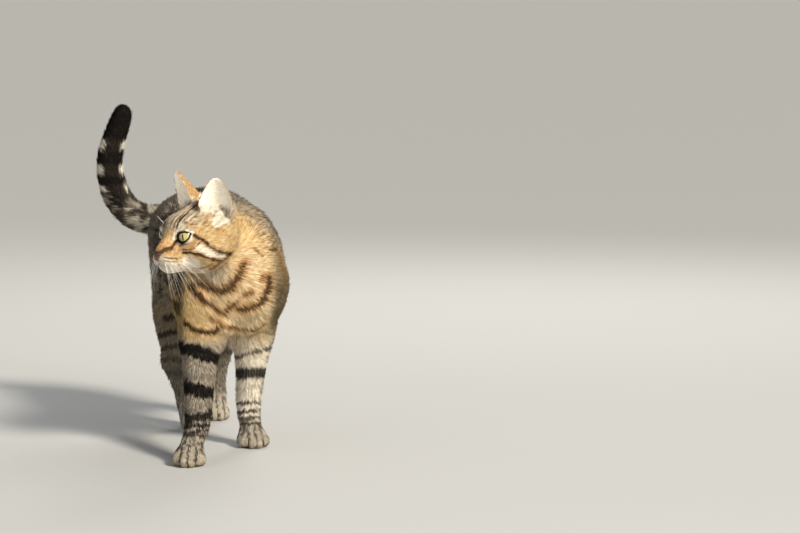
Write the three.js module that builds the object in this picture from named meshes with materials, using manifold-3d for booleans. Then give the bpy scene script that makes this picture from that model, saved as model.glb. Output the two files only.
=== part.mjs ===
// A grown short-haired cat, life size, as a still model. It is walking: the right fore paw is out in front,
// the head is turned to the cat's own right, and the tail is carried to the right with its end raised.
//
// Millimetres, +Z up. The cat faces -Y, and its left side is +X. The origin is on the floor, under the
// middle of the model's box.
//
// The outer surface of the coat is one smooth field: each bone and muscle is a rounded form, and a smooth
// union blends them. Each named part of the body then has a centre line, and a sphere's grid is spread over
// the field from it, ring by ring, so that neighbouring parts share one surface with a thin cut between.

import * as THREE from 'three';
import Module from 'manifold-3d';
import { mergeVertices } from 'three/addons/utils/BufferGeometryUtils.js';

const wasm = await Module();
wasm.setup();

const at = (x, y, z) => new THREE.Vector3(x, y, z);
const { degToRad, lerp, clamp, smoothstep } = THREE.MathUtils;

// ---------------------------------------------------------------- driving dimensions

const CUT = 0.4; // the thin gap between neighbouring parts
const BODY_X = 6; // the barrel bows a little to the left, away from the turned head

const LEG_BLEND = 26; // how widely each limb's root melts into the trunk
const NECK_BLEND = 34;
const HEAD_BLEND = 18;
const TAIL_BLEND = 22;

const EYE_RADIUS = 10;
const EYE_SET_BACK = 0.5; // from the head's own origin
const EYE_SPACING = 37; // between the centres of the eyeballs
const HEAD_TURN = 62; // degrees to the cat's right
const HEAD_NOD = 7; // degrees, nose down
const HEAD_PLACE = at(-62, -187, 259); // midway between the eyes, just behind their pupils

// Each ear: its base in the head's frame, its lean, the way its cup faces, and its size.
const EAR_SINK = 0.2; // the share of each ear's height that starts inside the skull
const EAR_CURL = 24; // how far the tip comes forward
const EAR_CUP = 1.45; // how deep the cup is against a round one
const EAR_WAIST = 0.45; // how narrow its sunk foot is against its width
const EAR_WIDEST = 0.38; // the share of its height where it is widest
const EAR_BASE_THICKNESS = 5;
const EAR_TIP_THICKNESS = 2;
const ears = {
  right: {
    base: at(-17, 59, 20), lean: at(-0.2, -0.19, 1), facing: at(-0.2, -0.98, 0), height: 67, width: 44,
  },
  left: {
    base: at(21, 50, 22), lean: at(0.13, 0.0, 1), facing: at(0.6, -0.8, 0), height: 51, width: 45,
  },
};

// Each leg's joints from the trunk down, the middle of its paw on the floor, and how many degrees its toes
// point out to the cat's right of straight ahead.
const foreLegs = {
  right: {
    scapula: at(-22, -74, 256), shoulder: at(-34, -112, 190), elbow: at(-28, -96, 132),
    wrist: at(-37, -148, 46), paw: at(-48, -161, 0), heading: 17,
  },
  left: {
    scapula: at(26, -68, 256), shoulder: at(39, -100, 190), elbow: at(36, -62, 132),
    wrist: at(33, -36, 48), paw: at(38, -37, 0), heading: -6,
  },
};
const hindLegs = {
  right: {
    hip: at(-28, 120, 238), seat: at(-24, 150, 214), knee: at(-40, 80, 156),
    hock: at(-36, 156, 77), ball: at(-17, 132, 24), paw: at(-12, 124, 0), heading: 4,
  },
  left: {
    hip: at(32, 120, 236), seat: at(26, 152, 212), knee: at(42, 104, 148),
    hock: at(29, 204, 84), ball: at(21, 203, 26), paw: at(21, 195, 0), heading: -4,
  },
};
const FORE_PAW = { width: 39, length: 46 };
const HIND_PAW = { width: 35, length: 46 };
const TOE_COUNT = 4;
const FORE_WRIST_HEIGHT = 36; // where a paw is parted from its leg
const HIND_ANKLE_HEIGHT = 34;

const tailLine = new THREE.CatmullRomCurve3([
  at(2, 146, 266),
  at(-12, 174, 259),
  at(-34, 192, 250),
  at(-59, 203, 247),
  at(-79, 209, 255),
  at(-95, 213, 273),
  at(-103, 216, 298),
  at(-104, 217, 322),
  at(-99, 217, 344),
  at(-92, 216, 363),
  at(-88, 214, 376),
]);
const TAIL_ROOT_RADIUS = 20;
const TAIL_MIDDLE_RADIUS = 17;
const TAIL_TIP_RADIUS = 12;
const TAIL_TAPER = 0.6; // the share of the length after which the tail thins to its tip
const TAIL_START = 0.06; // where the tail is parted from the rump, as a share of its length
const TAIL_END = 0.975; // where the round tip begins
const TAIL_PARTS = 3;

// How finely each part is faceted: the slices along it and the sides round it.
const TRUNK_GRID = { slices: 13, sides: 24 };
const NECK_GRID = { slices: 5, sides: 22 };
const HEAD_GRID = { slices: 13, sides: 26 };
const HEAD_CUT_SIDES = 18;
const FORE_LEG_GRID = { slices: 9, sides: 14 };
const HIND_LEG_GRID = { slices: 11, sides: 14 };
const PAW_GRID = { slices: 7, sides: 20 };
const TAIL_GRID = { slices: 10, sides: 14 };
const TAIL_STEPS = 24; // tapered limbs in the tail's own form
const EAR_GRID = { rings: 10, sides: 18 };
const EYE_GRID = { sides: 12, rings: 10 };
const NOSE_SIDES = 12;

// ---------------------------------------------------------------- rounded forms and their blends

// An ellipsoid of flesh.
function mound(centre, radii) {
  return (p) => {
    const x = (p.x - centre.x) / radii.x;
    const y = (p.y - centre.y) / radii.y;
    const z = (p.z - centre.z) / radii.z;
    const k = Math.hypot(x, y, z);
    const slope = Math.hypot(x / radii.x, y / radii.y, z / radii.z);
    return slope < 1e-9 ? -Math.min(radii.x, radii.y, radii.z) : (k * (k - 1)) / slope;
  };
}

// A tapered limb of flesh round the line from a to b.
function limb(a, b, radiusA, radiusB) {
  const line = new THREE.Line3(a, b);
  const nearest = at(0, 0, 0);
  return (p) => {
    const t = line.closestPointToPointParameter(p, true);
    return line.at(t, nearest).distanceTo(p) - lerp(radiusA, radiusB, t);
  };
}

// Joins fields smoothly, over a band as wide as blend.
function melt(blend, ...fields) {
  return (p) =>
    fields
      .map((field) => field(p))
      .reduce((a, b) => {
        const h = Math.max(blend - Math.abs(a - b), 0) / blend;
        return Math.min(a, b) - (h * h * blend) / 4;
      });
}

// A field that is given in a frame of its own.
function placed(frame, field) {
  const inverse = frame.clone().invert();
  const local = at(0, 0, 0);
  return (p) => field(local.copy(p).applyMatrix4(inverse));
}

const within = (field, ...bounds) => (p) => Math.max(field(p), ...bounds.map((bound) => bound(p)));
const grown = (field, by) => (p) => field(p) - by;
const mirrored = (make) => [-1, 1].map(make); // right side, then left

// ---------------------------------------------------------------- trunk and neck

const trunkFlesh = melt(
  30,
  mound(at(BODY_X, -100, 200), at(48, 42, 56)), // breast
  mound(at(BODY_X, -56, 212), at(60, 72, 70)), // ribs behind the shoulder
  mound(at(BODY_X + 1, 10, 212), at(71, 88, 72)), // barrel
  mound(at(BODY_X, 58, 217), at(67, 72, 68)), // loin and belly
  mound(at(BODY_X - 4, 116, 238), at(52, 54, 53)), // pelvis
);

const HEAD_FRAME = new THREE.Matrix4()
  .makeRotationFromEuler(new THREE.Euler(degToRad(HEAD_NOD), 0, -degToRad(HEAD_TURN), 'ZYX'))
  .setPosition(HEAD_PLACE);
const inHead = (x, y, z) => at(x, y, z).applyMatrix4(HEAD_FRAME);

const neckFlesh = melt(
  20,
  limb(at(BODY_X, -72, 228), at(BODY_X - 6, -116, 236), 48, 42),
  limb(at(BODY_X - 6, -116, 236), inHead(0, 42, -8), 42, 34),
  limb(at(BODY_X, -112, 204), inHead(2, 30, -22), 38, 22), // throat
);

// The cuts at the two ends of the neck, each with its place and the way towards the nose.
const neckRoot = { place: at(2, -111, 240), way: at(-0.1, -0.86, 0.5).normalize() };
const nape = { place: inHead(0, 57, -6), way: inHead(0.2, -0.98, 0).sub(HEAD_PLACE).normalize() };

// ---------------------------------------------------------------- head, in its own frame
// Its origin is midway between the eyeballs, the nose points to -Y and the cat's left is +X.

const headOwnFlesh = melt(
  9,
  mound(at(0, 30, 0), at(34, 36, 30)), // skull
  mound(at(0, 3, 7), at(28, 15, 15)), // forehead
  ...mirrored((s) => mound(at(21 * s, 37, 5), at(18, 21, 21))), // temples
  ...mirrored((s) => mound(at(26 * s, 18, -15), at(19, 25, 20))), // cheeks
  mound(at(0, -11, -20), at(16, 16, 13)), // muzzle
  limb(at(0, 2, 6), at(0, -23.5, -14), 9, 6.5), // bridge of the nose
  ...mirrored((s) => mound(at(8.5 * s, -18, -24), at(9.5, 10.5, 8.5))), // whisker pads
  mound(at(0, -15, -33), at(9, 9, 7.5)), // chin
  mound(at(0, 6, -27), at(24, 25, 13)), // jaw
);
const headFlesh = placed(HEAD_FRAME, headOwnFlesh);

// ---------------------------------------------------------------- legs and paws

const upperArm = ({ shoulder, elbow, wrist }) =>
  melt(14, limb(shoulder, elbow, 28, 23), limb(elbow, wrist, 22, 14.5));
const hindLegFlesh = ({ hip, seat, knee, hock, ball }) =>
  melt(
    16,
    limb(hip, knee, 40, 27),
    limb(seat, knee.clone().lerp(hock, 0.35), 33, 22),
    limb(knee, hock, 25, 12),
    limb(hock, ball, 12, 12.5),
  );

// A paw in its own frame: the toes point to -Y, and the sole is at Z = 0.
function pawFlesh(width, length) {
  const toes = Array.from({ length: TOE_COUNT }, (_, i) => {
    const side = i - (TOE_COUNT - 1) / 2; // -1.5, -0.5, 0.5, 1.5
    const back = Math.abs(side) > 1 ? 0.2 * length : 0;
    const radii = at(width * 0.155, length * 0.25, 8.6);
    return mound(at(side * width * 0.235, back - length * 0.27, 7.4), radii);
  });
  return melt(5, mound(at(0, length * 0.08, 11), at(width * 0.4, length * 0.38, 13)), ...toes);
}

function pawFrame({ paw, heading }) {
  return new THREE.Matrix4().makeRotationZ(-degToRad(heading)).setPosition(paw);
}

function withPaw(legFlesh, leg, width, length) {
  const ankle = leg.wrist ?? leg.ball;
  const root = at(0, length * 0.12, 16).applyMatrix4(pawFrame(leg));
  return melt(9, legFlesh, limb(ankle, root, 13, 12), placed(pawFrame(leg), pawFlesh(width, length)));
}

for (const leg of Object.values(foreLegs)) {
  leg.own = upperArm(leg);
  const shoulderBlade = limb(leg.scapula, leg.shoulder, 20, 28);
  leg.flesh = withPaw(melt(14, shoulderBlade, leg.own), leg, FORE_PAW.width, FORE_PAW.length);
}
for (const leg of Object.values(hindLegs)) {
  leg.own = hindLegFlesh(leg);
  leg.flesh = withPaw(leg.own, leg, HIND_PAW.width, HIND_PAW.length);
}

// ---------------------------------------------------------------- tail

const tailRadius = (t) =>
  t < TAIL_TAPER
    ? lerp(TAIL_ROOT_RADIUS, TAIL_MIDDLE_RADIUS, t / TAIL_TAPER)
    : lerp(TAIL_MIDDLE_RADIUS, TAIL_TIP_RADIUS, (t - TAIL_TAPER) / (1 - TAIL_TAPER));
const tailFlesh = melt(
  4,
  ...Array.from({ length: TAIL_STEPS }, (_, i) => {
    const [a, b] = [i / TAIL_STEPS, (i + 1) / TAIL_STEPS];
    return limb(tailLine.getPointAt(a), tailLine.getPointAt(b), tailRadius(a), tailRadius(b));
  }),
);

// ---------------------------------------------------------------- the whole coat

const legs = [...Object.values(foreLegs), ...Object.values(hindLegs)];
let cat = melt(NECK_BLEND, trunkFlesh, neckFlesh);
cat = melt(HEAD_BLEND, cat, headFlesh);
for (const leg of legs) cat = melt(LEG_BLEND, cat, leg.flesh);
cat = melt(TAIL_BLEND, cat, tailFlesh);

// ---------------------------------------------------------------- spreading a grid over the field

// How far from origin, along direction, the field is left.
function reach(field, origin, direction) {
  const p = at(0, 0, 0);
  let distance = 0;
  for (let i = 0; i < 60; i++) {
    const depth = -field(p.copy(direction).multiplyScalar(distance).add(origin));
    if (Math.abs(depth) < 0.003) break;
    distance = Math.max(distance + 0.75 * depth, 0);
  }
  return distance;
}

// A station is one ring of the grid: its place on the centre line, the line's direction there with two
// more directions square to it, and the tilt in degrees of its rays towards that direction. A flat pole
// is the place itself, which closes the part with a flat end.
function wrap(field, stations, sides) {
  const grid = new THREE.SphereGeometry(1, sides, stations.length - 1);
  const position = grid.getAttribute('position');
  const ray = at(0, 0, 0);
  for (let ring = 0; ring < stations.length; ring++) {
    const { place, along, right, up, tilt = 0, flat = false } = stations[ring];
    for (let i = 0; i <= sides; i++) {
      const turn = (2 * Math.PI * (i % sides)) / sides;
      ray.copy(right).multiplyScalar(Math.cos(turn)).addScaledVector(up, Math.sin(turn));
      ray.multiplyScalar(Math.cos(degToRad(tilt))).addScaledVector(along, Math.sin(degToRad(tilt)));
      const far = flat ? 0 : reach(field, place, ray);
      position.setXYZ(ring * (sides + 1) + i, ...ray.multiplyScalar(far).add(place).toArray());
    }
  }
  return closed(grid);
}

// The geometry with its shared vertices merged and its faces pointing out.
function closed(geometry) {
  geometry.deleteAttribute('normal');
  geometry.deleteAttribute('uv');
  const merged = mergeVertices(geometry, 1e-3);
  const index = merged.index.array;
  const [a, b, c] = [at(0, 0, 0), at(0, 0, 0), at(0, 0, 0)];
  const position = merged.getAttribute('position');
  let volume = 0;
  for (let i = 0; i < index.length; i += 3) {
    a.fromBufferAttribute(position, index[i]);
    b.fromBufferAttribute(position, index[i + 1]);
    c.fromBufferAttribute(position, index[i + 2]);
    volume += a.dot(b.cross(c));
  }
  const insideOut = volume < 0;
  for (let i = 0; insideOut && i < index.length; i += 3) [index[i], index[i + 1]] = [index[i + 1], index[i]];
  return merged;
}

const FAN = [25, 50, 72, 90]; // tilts of a rounded end's rings, in degrees

// The stations down a straight axis, such as the trunk's. Its ends are 'round' or 'flat'.
function straightStations(line, along, right, slices, startEnd, finishEnd) {
  const up = along.clone().cross(right).normalize();
  const frame = { along, right, up };
  const middle = Array.from({ length: slices }, (_, i) => ({ place: line(i / (slices - 1)), ...frame }));
  const end = (kind, place, sign) =>
    kind === 'flat'
      ? [{ place, ...frame, flat: true }]
      : FAN.map((tilt) => ({ place, ...frame, tilt: sign * tilt }));
  return [
    ...end(startEnd, line(0), -1).reverse(),
    ...middle,
    ...end(finishEnd, line(1), 1),
  ];
}

// The stations along a curve, from share a to share b of its length.
function curvedStations(curve, a, b, slices, finishEnd) {
  const steps = 200;
  const { tangents, normals, binormals } = curve.computeFrenetFrames(steps, false);
  const station = (t) => {
    const i = Math.round(t * steps);
    return { place: curve.getPointAt(t), along: tangents[i], right: normals[i], up: binormals[i] };
  };
  const middle = Array.from({ length: slices }, (_, i) => station(lerp(a, b, i / (slices - 1))));
  const last = middle.at(-1);
  const finish = finishEnd === 'flat' ? [{ ...last, flat: true }] : FAN.map((tilt) => ({ ...last, tilt }));
  return [{ ...middle[0], flat: true }, ...middle, ...finish];
}

// ---------------------------------------------------------------- joining and cutting

function solid(geometry) {
  return new wasm.Manifold(
    new wasm.Mesh({
      numProp: 3,
      vertProperties: geometry.getAttribute('position').array,
      triVerts: new Uint32Array(geometry.index.array),
    }),
  );
}

function geometryOf(manifold) {
  const { vertProperties, triVerts } = manifold.getMesh();
  return new THREE.BufferGeometry()
    .setAttribute('position', new THREE.BufferAttribute(vertProperties, 3))
    .setIndex(new THREE.BufferAttribute(triVerts, 1));
}

// Everything past a cut's plane, which is moved by shift, on the side that way points to.
function beyond({ place, way }, shift) {
  const size = 1200;
  const box = new THREE.BoxGeometry(size, size, size).translate(0, 0, size / 2 + shift);
  const turn = new THREE.Quaternion().setFromUnitVectors(at(0, 0, 1), way);
  return closed(box.applyQuaternion(turn).translate(place.x, place.y, place.z));
}
const past = ({ place, way }) => {
  const offset = place.dot(way);
  return (p) => p.dot(way) - offset;
};

// ---------------------------------------------------------------- parts

const coat = (color) => new THREE.MeshStandardMaterial({ color, roughness: 0.85, metalness: 0 });
const tabby = coat(0x9a7f5d);
const paleTabby = coat(0xb79c76);
const darkTabby = coat(0x5d4f40);
const eyeMaterial = new THREE.MeshStandardMaterial({ color: 0xa9a04a, roughness: 0.1, metalness: 0 });
const noseMaterial = new THREE.MeshStandardMaterial({ color: 0xa0584a, roughness: 0.55, metalness: 0 });

const UP = at(0, 0, 1);
const DOWN = at(0, 0, -1);
const BACK = at(0, 1, 0);
const LEFT = at(1, 0, 0);
const RIGHT = at(-1, 0, 0);
const LIMB_ROOT = 12; // how far a limb's piece reaches past its own form, into the trunk
const SPARE = 6; // how far a blank is left past its cut
const FAR_SPARE = 40; // the same where the cut is broad
const TRUNK_COVER = 34; // how far the coat of the trunk and of the neck reach over their own forms
const NECK_COVER = 45;

const root = new THREE.Group();
function add(name, geometry, material) {
  const mesh = new THREE.Mesh(geometry, material);
  mesh.name = name;
  root.add(mesh);
}

// What the parts made so far have taken from their neighbours, each grown by the gap.
const taken = [];

// The largest piece of blank that lies in region, if one is given, and outside the cutters.
function carve(blank, region, ...cutters) {
  let left = solid(blank);
  if (region) left = left.intersect(solid(region));
  for (const cutter of cutters) left = left.subtract(solid(cutter));
  const pieces = left.decompose().sort((a, b) => b.volume() - a.volume());
  return geometryOf(pieces[0]);
}

// ------ tail

const tailCuts = Array.from({ length: TAIL_PARTS + 1 }, (_, i) => lerp(TAIL_START, 1, i / TAIL_PARTS));
const tailGap = CUT / 2 / tailLine.getLength();
for (let i = 0; i < TAIL_PARTS; i++) {
  const [from, to] = [tailCuts[i] + tailGap, tailCuts[i + 1] - tailGap];
  const last = i === TAIL_PARTS - 1;
  const end = last ? TAIL_END : to;
  const stations = curvedStations(tailLine, from, end, TAIL_GRID.slices, last ? 'round' : 'flat');
  const form = i === 0 ? within(cat, grown(tailFlesh, LIMB_ROOT)) : cat;
  add('tail_' + (i + 1), wrap(form, stations, TAIL_GRID.sides), last ? darkTabby : tabby);
}
const tailRoot = curvedStations(tailLine, TAIL_START - tailGap, tailCuts[1], TAIL_GRID.slices, 'flat');
taken.push(wrap(grown(tailFlesh, LIMB_ROOT + CUT), tailRoot, TAIL_GRID.sides));

// ------ legs and paws

// The centre of a limb at each height, from its joints, which run downwards.
function downThrough(joints) {
  return (t) => {
    const z = lerp(joints[0].z, joints.at(-1).z, t);
    const i = Math.max(1, joints.findIndex((joint) => joint.z <= z));
    const [a, b] = [joints[i - 1], joints[i]];
    return a.clone().lerp(b, clamp((a.z - z) / (a.z - b.z), 0, 1));
  };
}
const atHeight = (a, b, z) => a.clone().lerp(b, (a.z - z) / (a.z - b.z));

function addLeg(name, side, leg, joints, { slices, sides }) {
  const foot = joints.at(-1);
  const inner = { place: at(BODY_X - 4, 0, 0), way: side === 'right' ? LEFT : RIGHT };
  const lower = [...joints.slice(0, -1), foot.clone().setZ(foot.z - SPARE)];
  const stations = (line) => straightStations(downThrough(line), DOWN, LEFT, slices, 'round', 'flat');
  const blank = wrap(within(cat, grown(leg.own, LIMB_ROOT + SPARE)), stations(joints), sides);
  const form = (by) => wrap(grown(leg.own, LIMB_ROOT + by), stations(lower), sides);
  add(name + '_' + side, carve(blank, form(0), beyond(inner, -CUT / 2), ...taken), tabby);
  return form(CUT);
}

function addPaw(name, leg, top, { length }) {
  const heel = top.clone().setZ(top.z - CUT);
  const sole = at(0, -length * 0.08, 0).applyMatrix4(pawFrame(leg));
  const line = (t) => heel.clone().lerp(sole, t).setZ(lerp(heel.z, 0, t ** 0.8));
  const stations = straightStations(line, DOWN, LEFT, PAW_GRID.slices, 'flat', 'flat');
  add(name, wrap(cat, stations, PAW_GRID.sides), paleTabby);
}

const legForms = [];
for (const [side, leg] of Object.entries(foreLegs)) {
  const foot = leg.wrist.clone().setZ(FORE_WRIST_HEIGHT);
  legForms.push(addLeg('foreleg', side, leg, [leg.shoulder, leg.elbow, leg.wrist, foot], FORE_LEG_GRID));
  addPaw('forepaw_' + side, leg, foot, FORE_PAW);
}
for (const [side, leg] of Object.entries(hindLegs)) {
  const middle = leg.knee.clone().lerp(leg.seat, 0.45).setZ(leg.knee.z + 6);
  const foot = atHeight(leg.hock, leg.ball, HIND_ANKLE_HEIGHT);
  legForms.push(addLeg('hindleg', side, leg, [leg.hip, middle, leg.hock, foot], HIND_LEG_GRID));
  addPaw('hindpaw_' + side, leg, foot, HIND_PAW);
}
taken.push(...legForms);

// ------ eyes and nose

const headAlong = inHead(0, -1, -0.16).sub(HEAD_PLACE).normalize();
const headLeft = inHead(1, 0, 0).sub(HEAD_PLACE);

function eyeball(side, radius) {
  const centre = inHead((side * EYE_SPACING) / 2, EYE_SET_BACK, 0);
  const ball = new THREE.SphereGeometry(radius, EYE_GRID.sides, EYE_GRID.rings);
  return closed(ball.translate(...centre.toArray()));
}
const noseForm = placed(
  HEAD_FRAME,
  melt(3, mound(at(0, -28.5, -17), at(6.2, 4, 4)), mound(at(0, -28.8, -21), at(2.6, 3.6, 3.4))),
);
const noseLine = (t) => inHead(0, lerp(-27.5, -29.5, t), -18.5);
const nose = (by) =>
  wrap(grown(noseForm, by), straightStations(noseLine, headAlong, headLeft, 2, 'round', 'round'), NOSE_SIDES);
add('nose', nose(0), noseMaterial);
add('eye_right', eyeball(-1, EYE_RADIUS), eyeMaterial);
add('eye_left', eyeball(1, EYE_RADIUS), eyeMaterial);

// ------ head

const HEAD_ROOT = 10; // how far the head's piece reaches past its own form, into the neck
const headLine = (t) => inHead(0, lerp(44, -14, t), lerp(-8, -19, t));
const headStations = straightStations(headLine, headAlong, headLeft, HEAD_GRID.slices, 'round', 'round');
const behindHead = { place: nape.place, way: nape.way.clone().negate() };
const headBlank = (by) => {
  const bounds = [grown(headFlesh, HEAD_ROOT + SPARE), grown(past(behindHead), SPARE)];
  return wrap(within(grown(cat, by), ...bounds), headStations, HEAD_GRID.sides);
};
const headForm = (by) =>
  carve(wrap(grown(headFlesh, HEAD_ROOT + by), headStations, HEAD_CUT_SIDES), null, beyond(behindHead, by));
const sockets = [nose(CUT), eyeball(-1, EYE_RADIUS + CUT), eyeball(1, EYE_RADIUS + CUT)];
add('head', carve(headBlank(0), headForm(0), ...sockets), tabby);
taken.push(headForm(CUT));

// ------ ears

// A closed tube of sections. Each one is an ellipse bent round the cup of the ear, and those at the two ends
// have no thickness, which closes the tube.
function ear({ base, lean, facing, height, width }, by) {
  const up = lean.clone().normalize();
  const across = facing.clone().cross(up).normalize();
  const frame = new THREE.Matrix4()
    .makeBasis(across, up.clone().cross(across), up)
    .setPosition(base)
    .premultiply(HEAD_FRAME);
  const { rings, sides } = EAR_GRID;
  const grid = new THREE.CylinderGeometry(1, 1, 1, sides, rings, true);
  const position = grid.getAttribute('position');
  const p = at(0, 0, 0);
  for (let ring = 0; ring <= rings; ring++) {
    const t = 1 - (1 - clamp((ring - 1) / (rings - 2), 0, 1)) ** 1.5;
    const waist = lerp(EAR_WAIST, 1, smoothstep(t, 0, EAR_WIDEST));
    const half = (width / 2) * waist * (1 - t ** 1.9) ** 0.62 + 0.6 + by;
    const open = degToRad(lerp(98, 40, t));
    const radius = half / Math.sin(Math.min(open, Math.PI / 2));
    const end = ring === 0 || ring === rings;
    const thick = end ? 0 : lerp(EAR_BASE_THICKNESS, EAR_TIP_THICKNESS, t ** 0.5) + 2 * by;
    for (let i = 0; i <= sides; i++) {
      const turn = (2 * Math.PI * (i % sides)) / sides;
      const round = Math.sign(Math.sin(turn)) * Math.abs(Math.sin(turn)) ** 0.6;
      const angle = open * Math.cos(turn);
      const out = radius + (thick / 2) * round;
      const forward = EAR_CUP * (radius - out * Math.cos(angle)) + EAR_CURL * t ** 1.3;
      p.set(out * Math.sin(angle), forward, height * (t - EAR_SINK));
      position.setXYZ(ring * (sides + 1) + i, ...p.applyMatrix4(frame).toArray());
    }
  }
  return closed(grid);
}

const headSkin = headBlank(CUT);
for (const [side, shape] of Object.entries(ears)) {
  add('ear_' + side, carve(ear(shape, 0), null, headSkin), paleTabby);
}
taken.push(...Object.values(ears).map((shape) => ear(shape, CUT)));

// ------ neck

const behindNeck = { place: neckRoot.place, way: neckRoot.way.clone().negate() };
const neckAlong = nape.place.clone().sub(neckRoot.place).normalize();
const neckRight = neckAlong.clone().cross(UP).normalize();
const neckLine = (t) => neckRoot.place.clone().lerp(nape.place, lerp(0.15, 0.9, t));
const neckBlank = wrap(
  within(cat, grown(neckFlesh, NECK_COVER), grown(past(nape), 2 * SPARE), grown(past(behindNeck), FAR_SPARE)),
  straightStations(neckLine, neckAlong, neckRight, NECK_GRID.slices, 'round', 'round'),
  NECK_GRID.sides,
);
add('neck', carve(neckBlank, null, beyond(behindNeck, 0), ...taken), tabby);

// ------ trunk

const trunkLine = (t) => at(BODY_X * (1 - t), lerp(-80, 118, t), lerp(206, 236, t ** 1.5));
const trunk = wrap(
  within(cat, grown(trunkFlesh, TRUNK_COVER), grown(past(neckRoot), FAR_SPARE)),
  straightStations(trunkLine, BACK, LEFT, TRUNK_GRID.slices, 'round', 'round'),
  TRUNK_GRID.sides,
);
add('trunk', carve(trunk, null, beyond(neckRoot, -CUT), ...taken), tabby);

// The origin goes to the floor under the middle of the model's box.
const box = new THREE.Box3().setFromObject(root);
const middle = box.getCenter(at(0, 0, 0));
root.children.forEach((mesh) => mesh.geometry.translate(-middle.x, -middle.y, -box.min.z));

export default root;
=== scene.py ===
"""A grown short-haired tabby cat in mid-step, as the still, life-size model that a museum shows.

The work runs from the inside out: the studio, one skin over the whole body, the way the coat lies, its
colours, the coat itself in locks, and then the eyes, the nose and the whiskers.
Lengths in the studio and in the finished meshes are metres. Those on the cat's body are millimetres.
"""

import heapq
import math

import bmesh
import bpy
import numpy as np
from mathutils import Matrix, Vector
from mathutils.bvhtree import BVHTree


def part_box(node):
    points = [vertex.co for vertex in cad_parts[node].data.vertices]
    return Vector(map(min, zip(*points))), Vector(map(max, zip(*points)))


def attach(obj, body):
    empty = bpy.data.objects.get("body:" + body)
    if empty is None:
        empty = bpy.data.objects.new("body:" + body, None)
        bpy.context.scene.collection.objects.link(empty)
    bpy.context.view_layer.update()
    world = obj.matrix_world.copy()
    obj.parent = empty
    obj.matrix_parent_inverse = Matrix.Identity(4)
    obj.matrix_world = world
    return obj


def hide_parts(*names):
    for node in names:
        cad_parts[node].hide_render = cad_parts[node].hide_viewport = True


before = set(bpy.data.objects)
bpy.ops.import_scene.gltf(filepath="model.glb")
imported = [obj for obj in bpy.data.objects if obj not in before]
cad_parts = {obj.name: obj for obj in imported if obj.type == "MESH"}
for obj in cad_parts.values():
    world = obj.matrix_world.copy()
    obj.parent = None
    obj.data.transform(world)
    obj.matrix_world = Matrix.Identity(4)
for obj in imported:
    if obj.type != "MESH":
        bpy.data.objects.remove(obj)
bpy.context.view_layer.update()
MM = 0.001  # metres

# ------------------------------------------------------------------------------- studio
# A photographer's table: one pale floor, a broad warm lamp high on the cat's left, a cool fill on its right,
# a soft lamp low in front, one behind, a small one for the light in its eyes, and a long lens down in front.

AIM = (0, 0, 0.2)  # the soft lamps shine at the middle of the cat
LENS_DROP, LENS_TURN = 5.175, 10  # degrees that the lens looks down, and to its right
FLOOR_HALF = 1000
FLOOR_RISE = 2  # far behind, the floor climbs this much past the lens, so that no edge of it shows


def in_scene(name, data):
    """A new object in the scene, which holds the data."""
    thing = bpy.data.objects.new(name, data)
    bpy.context.scene.collection.objects.link(thing)
    return thing


def lamp(name, kind, way, strength, colour):
    """A lamp that shines the given way."""
    light = bpy.data.lights.new(name, kind)
    light.energy = strength
    light.color = colour
    hung = in_scene(name, light)
    hung.rotation_euler = Vector(way).to_track_quat("-Z", "Y").to_euler()
    return hung


def soft_lamp(name, place, side, watts, colour):
    """A square lamp that shines at the cat from its place."""
    hung = lamp(name, "AREA", Vector(AIM) - Vector(place), watts, colour)
    hung.location = place
    hung.data.size = side


camera = in_scene("camera", bpy.data.cameras.new("camera"))
camera.location = (-0.3582, -3.3841, 0.5138)
camera.rotation_euler = (math.radians(90 - LENS_DROP), 0, math.radians(-LENS_TURN))
camera.data.lens = 132.4
camera.data.sensor_width = 36
camera.data.clip_start = 0.05
camera.data.clip_end = 3 * FLOOR_HALF
bpy.context.scene.camera = camera

key_lamp = lamp("key_lamp", "SUN", (-0.56, 1.27, -0.85), 4.0, (1.0, 0.93, 0.80))
key_lamp.data.angle = math.radians(10)
soft_lamp("fill_lamp", (-2.2, -2.3, 1.2), 1.6, 8, (0.86, 0.93, 1.0))
soft_lamp("front_lamp", (0.5, -2.9, 0.12), 1.4, 29, (1.0, 0.96, 0.9))
soft_lamp("back_lamp", (0.9, 1.8, 1.7), 1.0, 20, (1.0, 0.97, 0.9))
soft_lamp("eye_lamp", (0.65, -2.36, 1.53), 0.65, 17, (1.0, 0.98, 0.95))

world = bpy.data.worlds.new("studio_air")
world.use_nodes = True
air = world.node_tree.nodes["Background"]
air.inputs["Color"].default_value = (0.86, 0.9, 0.96, 1)
air.inputs["Strength"].default_value = 0.27
bpy.context.scene.world = world
bpy.context.scene.view_settings.view_transform = "Standard"

floor_mesh = bpy.data.meshes.new("floor")
floor_mesh.from_pydata(
    [(side * FLOOR_HALF, y, z)
     for y, z in ((-FLOOR_HALF, 0), (FLOOR_HALF, 0), (1.2 * FLOOR_HALF, FLOOR_RISE)) for side in (-1, 1)],
    [], [(0, 1, 3, 2), (2, 3, 5, 4)],
)
floor_paint = bpy.data.materials.new("floor_paint")
floor_paint.use_nodes = True
matt = floor_paint.node_tree.nodes["Principled BSDF"]
matt.inputs["Base Color"].default_value = (0.55, 0.55, 0.54, 1)
matt.inputs["Roughness"].default_value = 0.85
floor_mesh.materials.append(floor_paint)
floor = in_scene("floor", floor_mesh)

# ------------------------------------------------------------------------------- skin
# The hide under the fur: one soft, closed shell over skull, trunk, limbs and tail, without a seam. It lies
# inside the coat's outline by the depth of the hair, and is folded into lids, lips, a mouth and toes.

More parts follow.
